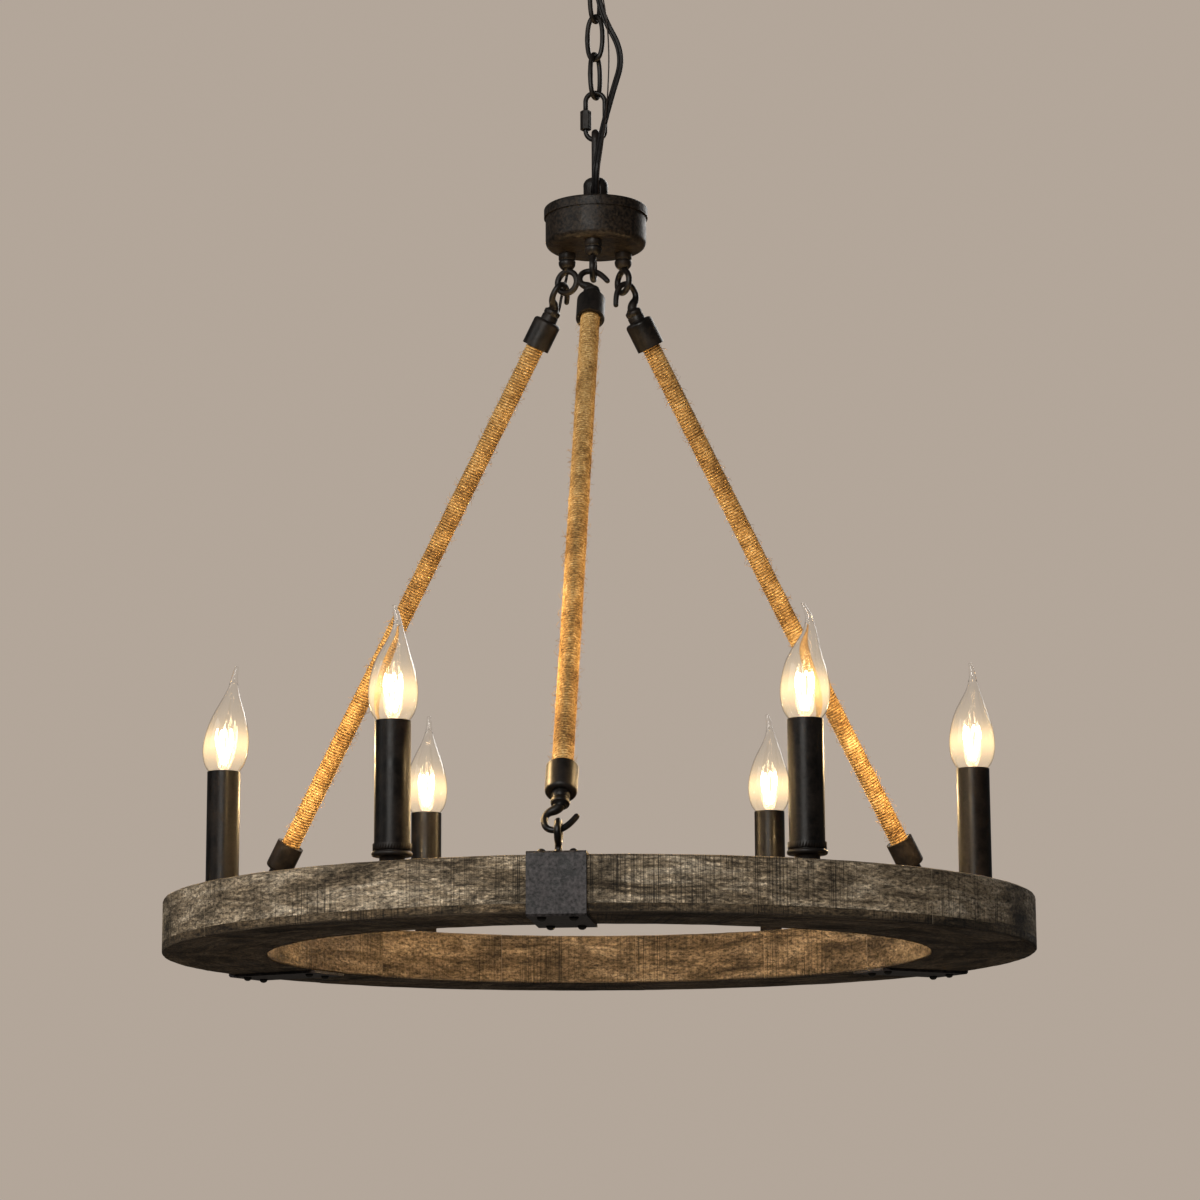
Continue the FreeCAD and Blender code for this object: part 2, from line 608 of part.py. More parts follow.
def hook():
    """One hook with its collar and the stem that enters the ferrule, in the frame of an arm's end."""
    arch = -(HUB_EYE_WIRE + HOOK_WIRE) / 2 - HOOK_GAP
    collar_end = COLLAR_FROM_EYE + COLLAR_LENGTH
    points = (
        (0, 0, COLLAR_FROM_EYE + HOOK_NECK_SUNK), (0, 0, COLLAR_FROM_EYE - HOOK_NECK),
        (HOOK_BULGE, 0, COLLAR_FROM_EYE / 2), (HOOK_BULGE - HOOK_HEEL, 0, arch), (-HOOK_TIP_START, 0, arch),
        (-HOOK_TIP_REACH, 0, HOOK_TIP_RETURN),
    )
    wire, _ = rod(points, HOOK_WIRE, 0.48)
    collar = spun(
        (
            (0, COLLAR_FROM_EYE), (COLLAR_DIAMETER / 2 - 1, COLLAR_FROM_EYE), (COLLAR_DIAMETER / 2, COLLAR_FROM_EYE + 1),
            (COLLAR_DIAMETER / 2, collar_end), (HOOK_WIRE / 2, collar_end),
            (HOOK_WIRE / 2, collar_end + FERRULE_END_WALL), (0, collar_end + FERRULE_END_WALL),
        )
    )
    return wire.fuse(collar)


def ferrule():
    """One ferrule: a turned cup over the rope's end, in the frame of an arm's end."""
    start = COLLAR_FROM_EYE + COLLAR_LENGTH
    end = start + FERRULE_LENGTH
    outer = FERRULE_DIAMETER / 2
    bore = ROPE_DIAMETER / 2 + ROPE_CLEARANCE
    stem = HOOK_WIRE / 2 + SHANK_CLEARANCE
    bend = FERRULE_SHOULDER * (1 - math.sqrt(0.5))
    return spun(
        (
            (stem, start), (outer - FERRULE_SHOULDER, start), (outer - bend, start + bend, "arc"),
            (outer, start + FERRULE_SHOULDER), (outer, end), (bore, end), (bore, start + FERRULE_END_WALL),
            (stem, start + FERRULE_END_WALL),
        )
    )


def build_arms():
    """The three arms: bound rod, two ferrules and two hooks each."""
    one_hook = hook()
    one_ferrule = ferrule()
    lead_hole = Part.makeCylinder(
        LEAD_DIAMETER / 2 + LEAD_HOLE_CLEARANCE, FERRULE_END_WALL + 1.2,
        V(*LEAD_SIDE, COLLAR_FROM_EYE + COLLAR_LENGTH - 1),
    )
    rope_start = COLLAR_FROM_EYE + COLLAR_LENGTH + FERRULE_END_WALL + ROPE_CLEARANCE
    for arm in ARMS:
        rope = Part.makeCylinder(ROPE_DIAMETER / 2, arm.length - 2 * rope_start, V(0, 0, rope_start))
        upper_ferrule = one_ferrule
        if arm is LEFT_ARM:
            upper_ferrule = one_ferrule.cut(lead_hole)
        save(f"{arm.name}_arm_rope", arm.placed(rope))
        save(f"{arm.name}_arm_ferrules", arm.placed(upper_ferrule), arm.placed(one_ferrule, lower=True))
        save(f"{arm.name}_arm_upper_hook", arm.placed(one_hook))
        save(f"{arm.name}_arm_lower_hook", arm.placed(one_hook, lower=True))


def strap_bolt_places(arm):
    """The four through bolts of one strap, as points on the rim."""
    places = []
    for radius in (RIM_OUTER - BOLT_FROM_OUTER_FACE, RIM_INNER + BOLT_FROM_INNER_FACE):
        for side in (-0.5, 0.5):
            places.append(polar(radius, arm.azimuth) + polar(side * BOLT_SPACING, arm.azimuth + 90))
    return places


def build_rim():
    """The staves, in two nodes of half the rim each, and the cover strip let into their tops."""
    cover_inner = LIGHT_RADIUS - COVER_WIDTH / 2
    cover_outer = LIGHT_RADIUS + COVER_WIDTH / 2
    rebate = RIM_TOP - COVER_THICKNESS
    channel = RIM_TOP - CHANNEL_DEPTH
    section = [
        (RIM_OUTER, RIM_BOTTOM + RIM_EDGE), (RIM_OUTER, RIM_TOP - RIM_EDGE), (RIM_OUTER - RIM_EDGE, RIM_TOP),
        (cover_outer + COVER_CLEARANCE, RIM_TOP), (cover_outer + COVER_CLEARANCE, rebate),
        (LIGHT_RADIUS + CHANNEL_WIDTH / 2, rebate), (LIGHT_RADIUS + CHANNEL_WIDTH / 2, channel),
        (LIGHT_RADIUS - CHANNEL_WIDTH / 2, channel), (LIGHT_RADIUS - CHANNEL_WIDTH / 2, rebate),
        (cover_inner - COVER_CLEARANCE, rebate), (cover_inner - COVER_CLEARANCE, RIM_TOP),
        (RIM_INNER + RIM_EDGE, RIM_TOP), (RIM_INNER, RIM_TOP - RIM_EDGE), (RIM_INNER, RIM_BOTTOM + RIM_EDGE),
        (RIM_INNER + RIM_EDGE, RIM_BOTTOM), (RIM_OUTER - RIM_EDGE, RIM_BOTTOM),
    ]
    outline = Part.makePolygon([V(radius, 0, height) for radius, height in section + section[:1]])
    stave_angle = 360.0 / STAVE_COUNT
    stave = Part.Face(outline).revolve(V(0, 0, 0), UP, stave_angle)
    drills = []
    for arm in ARMS:
        for place in strap_bolt_places(arm):
            drills.append(cylinder(BOLT_SHANK + 2 * BOLT_CLEARANCE, RIM_BOTTOM - 1, RIM_TOP + 1, place))
        eye_hole = STRAP_EYE_WIRE + 2 * SHANK_CLEARANCE
        drills.append(cylinder(eye_hole, RIM_TOP - STRAP_EYE_DEPTH - SHANK_CLEARANCE, RIM_TOP + 1, arm.strap_eye))
    for azimuth in LIGHT_AZIMUTHS:
        nipple_hole = THREAD_DIAMETER + 2 * THREAD_CLEARANCE
        drills.append(
            cylinder(nipple_hole, RIM_TOP - NIPPLE_IN_RIM - THREAD_CLEARANCE, RIM_TOP + 1, polar(LIGHT_RADIUS, azimuth))
        )
    staves = []
    for index in range(STAVE_COUNT):
        piece = turned_about_z(stave, FIRST_SEAM + index * stave_angle)
        for drill in drills:
            if piece.BoundBox.intersect(drill.BoundBox):
                piece = piece.cut(drill)
        staves.append(piece.Solids[0])
    half = STAVE_COUNT // 2
    save("rim_staves_back", *staves[:half])
    save("rim_staves_front", *staves[half:])

    cover = spun(
        ((cover_inner, rebate), (cover_outer, rebate), (cover_outer, RIM_TOP), (cover_inner, RIM_TOP))
    )
    for azimuth in LIGHT_AZIMUTHS:
        cover = cover.cut(
            cylinder(THREAD_DIAMETER + 2 * THREAD_CLEARANCE, rebate - 1, RIM_TOP + 1, polar(LIGHT_RADIUS, azimuth))
        )
    save("wiring_cover", cover)


def build_straps():
    """The three straps, their through bolts and the eyes on top of them."""
    crown = BOLT_HEAD_DIAMETER * 0.1
    bolt_outline = (
        (0, RIM_BOTTOM - STRAP_THICKNESS - BOLT_HEAD_HEIGHT),
        (crown, RIM_BOTTOM - STRAP_THICKNESS - BOLT_HEAD_HEIGHT),
        (BOLT_HEAD_DIAMETER * 0.36, RIM_BOTTOM - STRAP_THICKNESS - BOLT_HEAD_HEIGHT * 0.72, "arc"),
        (BOLT_HEAD_DIAMETER / 2, RIM_BOTTOM - STRAP_THICKNESS), (BOLT_SHANK / 2, RIM_BOTTOM - STRAP_THICKNESS),
        (BOLT_SHANK / 2, RIM_TOP + STRAP_THICKNESS), (BOLT_HEAD_DIAMETER / 2, RIM_TOP + STRAP_THICKNESS),
        (BOLT_HEAD_DIAMETER * 0.36, RIM_TOP + STRAP_THICKNESS + BOLT_HEAD_HEIGHT * 0.72, "arc"),
        (crown, RIM_TOP + STRAP_THICKNESS + BOLT_HEAD_HEIGHT), (0, RIM_TOP + STRAP_THICKNESS + BOLT_HEAD_HEIGHT),
    )
    bolt = spun(bolt_outline)
    inner_end = RIM_INNER - STRAP_OVERHANG
    face = RIM_OUTER + STRAP_FACE_GAP
    outside = face + STRAP_THICKNESS
    above_rim = RIM_TOP + STRAP_THICKNESS
    below_rim = RIM_BOTTOM - STRAP_THICKNESS
    outline = (
        (inner_end, above_rim), (outside - STRAP_BEND, above_rim), (outside, above_rim - STRAP_BEND),
        (outside, below_rim + STRAP_BEND), (outside - STRAP_BEND, below_rim), (inner_end, below_rim),
        (inner_end, RIM_BOTTOM), (face, RIM_BOTTOM), (face, RIM_TOP), (inner_end, RIM_TOP), (inner_end, above_rim),
    )
    wire = Part.makePolygon([V(radius, -STRAP_WIDTH / 2, height) for radius, height in outline])
    plate = Part.Face(wire).extrude(V(0, STRAP_WIDTH, 0))
    bolts = []
    eyes = []
    for arm in ARMS:
        strap = turned_about_z(plate, arm.azimuth)
        for place in strap_bolt_places(arm):
            strap = strap.cut(cylinder(BOLT_SHANK + 2 * BOLT_CLEARANCE, below_rim - 1, above_rim + 1, place))
            bolts.append(moved(bolt, place))
        eye_hole = STRAP_EYE_WIRE + 2 * SHANK_CLEARANCE
        strap = strap.cut(cylinder(eye_hole, RIM_TOP - 1, above_rim + 1, arm.strap_eye))
        save(f"{arm.name}_strap", strap)
        ring = eye_ring(STRAP_EYE_WIRE, STRAP_EYE_BEND, arm.strap_eye, arm.radial_eyes, arm.azimuth)
        shank_top = STRAP_EYE_CENTRE - STRAP_EYE_BEND
        shank = cylinder(STRAP_EYE_WIRE, RIM_TOP - STRAP_EYE_DEPTH, shank_top, arm.strap_eye)
        foot = Part.makeCone(
            STRAP_EYE_FOOT / 2, STRAP_EYE_WIRE / 2, STRAP_EYE_FOOT_HEIGHT, V(arm.strap_eye.x, arm.strap_eye.y, above_rim)
        )
        eyes.append(ring.fuse([shank, foot]))
    save("strap_bolts", *bolts)
    save("strap_eyes", *eyes)


def lean_slope(leans, index):
    """The slope of a bulb's axis at one of its heights: the mean of the chords beside it, the nearer one weighing more."""
    last = len(LEAN_HEIGHTS) - 1
    before = max(index - 1, 0)
    after = min(index + 1, last)
    if index in (0, last):
        return (leans[after] - leans[before]) / (LEAN_HEIGHTS[after] - LEAN_HEIGHTS[before])
    below = LEAN_HEIGHTS[index] - LEAN_HEIGHTS[before]
    above = LEAN_HEIGHTS[after] - LEAN_HEIGHTS[index]
    lower = (leans[index] - leans[before]) / below
    upper = (leans[after] - leans[index]) / above
    return (lower * above + upper * below) / (above + below)


def bulb_axis(height, leans):
    """How far a bulb's axis has moved sideways at a height above the sleeve, on a smooth curve through its leans."""
    index = 0
    while index < len(LEAN_HEIGHTS) - 2 and height > LEAN_HEIGHTS[index + 1]:
        index += 1
    step = LEAN_HEIGHTS[index + 1] - LEAN_HEIGHTS[index]
    t = min(max((height - LEAN_HEIGHTS[index]) / step, 0.0), 1.0)
    rise = (2 * t**3 - 3 * t**2 + 1) * leans[index] + (3 * t**2 - 2 * t**3) * leans[index + 1]
    first = (t**3 - 2 * t**2 + t) * step * lean_slope(leans, index)
    second = (t**3 - t**2) * step * lean_slope(leans, index + 1)
    return V(rise + first + second, 0, 0)


def glass_body(outline, leans, ruled):
    """A loft through level circles along a bulb's bent axis, with the sleeve's upper edge at height 0."""
    sections = []
    for radius, height in outline:
        centre = bulb_axis(height, leans) + UP * height
        sections.append(Part.Wire([Part.Circle(centre, UP, radius).toShape()]))
    return Part.makeLoft(sections, True, ruled)


def build_lights():
    """Cup, lampholder and sleeve as groups of six, and each bulb's glass and cap as nodes of its own."""
    seat = CUP_NECK_HEIGHT + CUP_LOWER_TIER + CUP_GROOVE + CUP_UPPER_TIER
    neck = CUP_NECK_DIAMETER / 2
    rim = CUP_DIAMETER / 2
    hole = THREAD_DIAMETER / 2 + THREAD_CLEARANCE
    recess = SLEEVE_DIAMETER / 2 + SLEEVE_CLEARANCE
    lip = recess + 0.9
    groove_base = CUP_NECK_HEIGHT + CUP_LOWER_TIER
    cup = spun(
        (
            (hole, 0), (neck, 0), (neck, CUP_NECK_HEIGHT - 1), (neck + 1, CUP_NECK_HEIGHT), (rim - 1, CUP_NECK_HEIGHT),
            (rim, CUP_NECK_HEIGHT + CUP_LOWER_TIER / 2, "arc"), (rim - 1, groove_base), (recess - 0.3, groove_base),
            (recess - 0.3, groove_base + CUP_GROOVE), (lip, groove_base + CUP_GROOVE), (lip, seat), (recess, seat),
            (recess, seat - SLEEVE_SEAT_DEPTH), (hole, seat - SLEEVE_SEAT_DEPTH),
        )
    )
    sleeve_radius = SLEEVE_DIAMETER / 2
    sleeve = Part.makeCylinder(sleeve_radius, SLEEVE_LENGTH).cut(
        Part.makeCylinder(sleeve_radius - SLEEVE_WALL, SLEEVE_LENGTH)
    )
    sleeve_base = SLEEVE_BOTTOM - RIM_TOP
    sleeve_top = SLEEVE_TOP - RIM_TOP
    holder_top = sleeve_top - HOLDER_BELOW_SLEEVE_TOP
    holder_base = holder_top - HOLDER_HEIGHT
    bore = HOLDER_BORE / 2
    bore_floor = sleeve_top - CAP_BELOW_SLEEVE_TOP - CAP_HEIGHT - CONTACT_HEIGHT - WIRE_GAP
    holder = spun(
        (
            (0, -NIPPLE_IN_RIM), (THREAD_DIAMETER / 2, -NIPPLE_IN_RIM), (THREAD_DIAMETER / 2, sleeve_base),
            (HOLDER_STEM_DIAMETER / 2, sleeve_base), (HOLDER_STEM_DIAMETER / 2, holder_base - HOLDER_CONE),
            (HOLDER_DIAMETER / 2, holder_base), (HOLDER_DIAMETER / 2, holder_top), (bore, holder_top),
            (bore, bore_floor), (0, bore_floor),
        )
    )
    places = [polar(LIGHT_RADIUS, azimuth, RIM_TOP) for azimuth in LIGHT_AZIMUTHS]
    save("candle_cups", *[moved(cup, place) for place in places])
    save("lampholders", *[moved(holder, place) for place in places])
    save("candle_sleeves", *[moved(sleeve, place + UP * sleeve_base) for place in places])

    cap_radius = CAP_DIAMETER / 2
    contact = CONTACT_DIAMETER / 2
    cap = spun(
        (
            (0, -CAP_HEIGHT - CONTACT_HEIGHT), (contact, -CAP_HEIGHT - CONTACT_HEIGHT),
            (contact + 0.5, -CAP_HEIGHT - CONTACT_HEIGHT * 0.6), (cap_radius - 1.5, -CAP_HEIGHT),
            (cap_radius, -CAP_HEIGHT + 1), (cap_radius, 0), (0, 0),
        )
    )
    for number, (place, leans) in enumerate(zip(places, BULB_LEANS), start=1):
        glass = glass_body(GLASS_OUTLINE, leans, False).cut(glass_body(CAVITY_OUTLINE, leans, True))
        sleeve_mouth = place + UP * sleeve_top
        save(f"bulb_{number}_glass", moved(glass, sleeve_mouth))
        save(f"bulb_{number}_cap", moved(cap, sleeve_mouth - UP * CAP_BELOW_SLEEVE_TOP))


def build_cords():
    """The cord and its earth wire, cut between the chain's joints, and the lead into the left arm."""
    lengths = []
    for route, diameter in ((CORD_ROUTE, CORD_DIAMETER), (EARTH_ROUTE, EARTH_WIRE_DIAMETER)):
        points = [V(*point) for point in route]
        cuts = [(points[index] + points[index + 1]) * 0.5 for index in CORD_CUT_COUNTS]
        starts = [0] + [index + 1 for index in CORD_CUT_COUNTS]
        ends = [index + 1 for index in CORD_CUT_COUNTS] + [len(points)]
        pieces = []
        for number, (start, end) in enumerate(zip(starts, ends)):
            run = points[start:end]
            if number > 0:
                run = [cuts[number - 1]] + run
            if number < len(cuts):
                run = run + [cuts[number]]
            solid, radius = rod(run, diameter)
            print(f"cord {number + 1}, {diameter} mm: smallest arc {radius:.1f} mm")
            pieces.append(solid)
        lengths.append(pieces)
    for number, pair in enumerate(zip(*lengths), start=1):
        save(f"cord_{number}", *pair)

    floor = HUB_BOTTOM + HUB_WALL
    frame = LEFT_ARM.placement(lower=False)
    collar_end = COLLAR_FROM_EYE + COLLAR_LENGTH
    lead, radius = rod(
        (
            V(*LEAD_EXIT, floor + LEAD_START), V(*LEAD_EXIT, HUB_BOTTOM - LEAD_DROP),
            frame.multVec(V(*LEAD_TURN)), frame.multVec(V(*LEAD_SIDE, COLLAR_FROM_EYE)),
            frame.multVec(V(*LEAD_SIDE, collar_end + FERRULE_END_WALL * 0.7)),
        ),
        LEAD_DIAMETER,
    )
    print(f"arm lead: smallest arc {radius:.1f} mm")
    save("arm_lead", lead)


build_ceiling()
build_chain()
build_hub()
build_arms()
build_rim()
build_straps()
build_lights()
build_cords()
print(f"rim bottom at {RIM_BOTTOM:.2f}, hub top at {HUB_TOP:.2f}, sleeve top at {SLEEVE_TOP:.2f}")
for arm in ARMS:
    print(f"{arm.name} arm: top {arm.top}, bottom {arm.bottom}, length {arm.length:.1f}")
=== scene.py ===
"""Dressed model of the ring chandelier: a rim of wooden staves, twine-bound arms, a pressed hub and a chain.

Everything is in metres in the row frame: the origin is the middle of the mounting bar's upper face, +Z is up
and the photographed side faces -Y. Sizes that the part's source also holds are written in millimetres, as
there, and turned into metres where points are worked out.
"""
import logging
import math
from dataclasses import dataclass
from enum import Enum

import bmesh
import bpy
import numpy as np
from mathutils import Matrix, Vector


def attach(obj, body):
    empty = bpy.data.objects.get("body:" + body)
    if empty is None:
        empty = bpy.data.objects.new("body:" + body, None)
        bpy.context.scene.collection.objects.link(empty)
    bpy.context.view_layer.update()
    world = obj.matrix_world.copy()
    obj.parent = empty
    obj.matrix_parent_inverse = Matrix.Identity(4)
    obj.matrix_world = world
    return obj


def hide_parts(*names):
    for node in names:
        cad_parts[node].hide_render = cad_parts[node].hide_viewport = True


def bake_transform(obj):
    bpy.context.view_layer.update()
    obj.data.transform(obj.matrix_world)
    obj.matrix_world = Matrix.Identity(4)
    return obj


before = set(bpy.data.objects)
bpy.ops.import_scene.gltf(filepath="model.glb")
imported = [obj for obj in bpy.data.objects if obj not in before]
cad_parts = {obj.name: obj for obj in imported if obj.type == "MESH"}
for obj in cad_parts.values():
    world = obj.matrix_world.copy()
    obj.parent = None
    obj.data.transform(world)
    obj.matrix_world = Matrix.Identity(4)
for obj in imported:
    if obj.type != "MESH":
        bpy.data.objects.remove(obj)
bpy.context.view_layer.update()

logging.basicConfig(level=logging.INFO, format="%(message)s")
LOG = logging.getLogger("chandelier")

MM = 0.001
SURFACE_MAP = "surface"
PIECE_MARK = "mark"
Colour = tuple[float, float, float, float]
Triple = tuple[float, float, float]
Socket = bpy.types.NodeSocket
X_AXIS = np.array([1.0, 0.0, 0.0])
Y_AXIS = np.array([0.0, 1.0, 0.0])
Z_AXIS = np.array([0.0, 0.0, 1.0])


class Slot(Enum):
    """The record's material slots."""

    ZINC = "zinc_steel"
    IRON = "dark_iron"
    CORD = "black_cord"
    TWINE = "hemp_twine"
    WOOD = "weathered_wood"
    HOLDER = "white_plastic"
    GLASS = "clear_glass"
    CAP = "brass_cap"
    SLEEVE = "sleeve_paint"


class End(Enum):
    """The two ends of an arm."""

    UPPER = "upper"
    LOWER = "lower"


# --------------------------------------------------------------------------------------------------
# Surfaces worked out with arrays
# --------------------------------------------------------------------------------------------------


def unit(vectors: np.ndarray) -> np.ndarray:
    """Vectors scaled to length one, along the last axis."""
    return vectors / np.linalg.norm(vectors, axis=-1, keepdims=True)


def polar(radius: float, azimuth: float, height: float = 0.0) -> np.ndarray:
    """The point at a radius and an azimuth in degrees about +Z."""
    angle = math.radians(azimuth)
    return np.array([radius * math.cos(angle), radius * math.sin(angle), height])


LIGHT_COUNT = 6
LIGHT_RADIUS = 296.0
FIRST_LIGHT = 0.4


def light_place(number: int, height: float) -> np.ndarray:
    """The point at a height on a candle's axis, in millimetres, with the candles counted from 0."""
    return polar(LIGHT_RADIUS, FIRST_LIGHT + 360 / LIGHT_COUNT * number, height)


def quadratic_line(points: np.ndarray, per_corner: int) -> np.ndarray:
    """Points along the clamped quadratic B-spline of some control points.

    Each inner control point P[k] rules one parabola, from the middle of P[k-1]P[k] to that of P[k]P[k+1], and
    the first and last parabolas reach the end points: B(t) = (1-t)^2 A + 2t(1-t) P[k] + t^2 C.

    Args:
        points: Control points, one per row.
        per_corner: Samples on each parabola.

    Returns:
        The samples, one per row, in order and with no doubles.
    """
    points = np.asarray(points, float)
    middles = (points[:-1] + points[1:]) / 2
    starts = np.vstack([points[:1], middles[1:-1]])
    ends = np.vstack([middles[1:-1], points[-1:]])
    t = np.linspace(0, 1, per_corner + 1)[None, :, None]
    curve = (1 - t) ** 2 * starts[:, None] + 2 * t * (1 - t) * points[1:-1][:, None] + t**2 * ends[:, None]
    return np.vstack([curve[:, :-1].reshape(-1, points.shape[1]), points[-1:]])


def smooth_values(knots: np.ndarray, values: np.ndarray, at: np.ndarray) -> np.ndarray:
    """A smooth curve through values at knots.

    It is made of cubic Hermite pieces, whose slopes are the means of the chords' slopes.

    Args:
        knots: Rising parameters.
        values: A value, or a row of values, for each knot.
        at: Where the curve is wanted.

    Returns:
        The curve's values there.
    """
    knots = np.asarray(knots, float)
    values = np.asarray(values, float).reshape(len(knots), -1)
    at = np.asarray(at, float)
    slopes = np.gradient(values, knots, axis=0)
    index = np.clip(np.searchsorted(knots, at, side="right") - 1, 0, len(knots) - 2)
    step = (knots[index + 1] - knots[index])[:, None]
    t = ((at - knots[index])[:, None] / step).clip(0, 1)
    rise = (2 * t**3 - 3 * t**2 + 1) * values[index] + (3 * t**2 - 2 * t**3) * values[index + 1]
    lean = (t**3 - 2 * t**2 + t) * step * slopes[index] + (t**3 - t**2) * step * slopes[index + 1]
    return rise + lean


def sweep(
    path: np.ndarray, section: np.ndarray, sizes: np.ndarray | float, reference: np.ndarray
) -> np.ndarray:
    """A section carried along a path.

    With t the path's direction, s = the part of the reference square to t, and n = t x s, a point of row i
    and column j is path[i] + sizes[i] * (section[j].x * s[i] + section[j].y * n[i]).

    Args:
        path: Points of the centre line, one per row.
        section: The section's outline, two values per row.
        sizes: What the section is multiplied by, at each point of the path or everywhere.
        reference: The direction that the section's first axis keeps to.

    Returns:
        A grid of points, rows along the path and columns round the section.
    """
    along = unit(np.gradient(path, axis=0))
    across = np.broadcast_to(np.asarray(reference, float), along.shape)
    across = unit(across - (across * along).sum(axis=1, keepdims=True) * along)
    normal = np.cross(along, across)
    offset = section[None, :, :1] * across[:, None] + section[None, :, 1:] * normal[:, None]
    return path[:, None] + np.asarray(sizes, float).reshape(-1, 1, 1) * offset


def ring_section(sides: int) -> np.ndarray:
    """A unit circle's points."""
    angle = np.arange(sides) * 2 * np.pi / sides
    return np.stack([np.cos(angle), np.sin(angle)], axis=1)


def revolved(profile: np.ndarray, sides: int, centre: np.ndarray) -> np.ndarray:
    """A profile of (radius, height) rows turned about the vertical line through a centre.

    Row i, column j is centre[i] + (r[i] cos a[j], r[i] sin a[j], z[i]), where centre may be one point or one
    per row.
    """
    ring = ring_section(sides)
    grid = np.zeros((len(profile), sides, 3))
    grid[:, :, :2] = profile[:, None, :1] * ring[None]
    grid[:, :, 2] = profile[:, None, 1]
    return grid + np.asarray(centre, float).reshape(-1, 1, 3)


class MeshDraft:
    """Grids and the caps that close them, gathered into one mesh."""

    def __init__(self) -> None:
        """Start with nothing."""
        self.points: list[np.ndarray] = []
        self.faces: list[list[int]] = []
        self.maps: list[np.ndarray] = []
        self.marks: list[np.ndarray] = []
        self.count = 0

    def grid(
        self,
        points: np.ndarray,
        lengths: tuple[float, float] = (1.0, 1.0),
        close_columns: bool = True,
        close_rows: bool = False,
        capped: bool = True,
        mark: np.ndarray | float = 0.0,
        start: tuple[float, float] = (0.0, 0.0),
    ) -> None:
        """Add a grid of quads.

        Args:
            points: Rows by columns of points.
            lengths: What the map's two values grow to over the rows and over the columns.
            close_columns: Whether the last column joins the first.
            close_rows: Whether the last row joins the first.
            capped: Whether a flat face closes the first and the last row.
            mark: A value per point, or one for all, kept as the mesh's mark.
            start: The map's values at the first row and column.
        """
        rows, columns = points.shape[:2]
        row_steps = rows if close_rows else rows - 1
        column_steps = columns if close_columns else columns - 1
        i, j = np.meshgrid(np.arange(row_steps), np.arange(column_steps), indexing="ij")
        corners = [(i, j), (i + 1, j), (i + 1, j + 1), (i, j + 1)]
        index = np.stack([(a % rows) * columns + b % columns for a, b in corners], axis=-1).reshape(-1, 4)
        u = [start[0] + a * lengths[0] / row_steps for a, _ in corners]
        v = [start[1] + b * lengths[1] / column_steps for _, b in corners]
        chart = np.stack([np.stack(u, axis=-1), np.stack(v, axis=-1)], axis=-1)
        self.faces.extend((index + self.count).tolist())
        self.maps.append(chart.reshape(-1, 2))
        if capped and close_columns and not close_rows:
            for row, order in ((0, 1), (rows - 1, -1)):
                ring = np.arange(columns)[::order] + row * columns + self.count
                self.faces.append(ring.tolist())
                self.maps.append(np.zeros((columns, 2)) + np.array(start))
        self.points.append(points.reshape(-1, 3))
        self.marks.append(np.broadcast_to(np.asarray(mark, float), points.shape[:2]).reshape(-1))
        self.count += rows * columns

    def build(self, name: str, sharp: float) -> bpy.types.Object:
        """Make the object, with its faces turned outwards.

        Args:
            name: The piece's name.
            sharp: The angle in degrees past which an edge stays sharp.

        Returns:
            The object, at the origin and in the scene.
        """
        mesh = bpy.data.meshes.new(name)
        mesh.from_pydata(np.vstack(self.points).tolist(), [], self.faces)
        chart = mesh.uv_layers.new(name=SURFACE_MAP)
        chart.data.foreach_set("uv", np.vstack(self.maps).astype(np.float32).ravel())
        mark = mesh.attributes.new(PIECE_MARK, "FLOAT", "POINT")
        mark.data.foreach_set("value", np.concatenate(self.marks).astype(np.float32))
        obj = bpy.data.objects.new(name, mesh)
        bpy.context.scene.collection.objects.link(obj)
        turn_outwards(mesh)
        shade_smooth(mesh, sharp)
        return obj


def turn_outwards(mesh: bpy.types.Mesh) -> None:
    """Turn every closed shell's faces outwards."""
    work = bmesh.new()
    work.from_mesh(mesh)
    bmesh.ops.recalc_face_normals(work, faces=work.faces)
    work.to_mesh(mesh)
    work.free()


def shade_smooth(mesh: bpy.types.Mesh, sharp: float) -> None:
    """Shade a mesh smooth, with edges past an angle in degrees kept sharp."""
    mesh.polygons.foreach_set("use_smooth", np.ones(len(mesh.polygons), bool))
    mesh.set_sharp_from_angle(angle=math.radians(sharp))
    mesh.update()


# --------------------------------------------------------------------------------------------------
# Finishes
# --------------------------------------------------------------------------------------------------


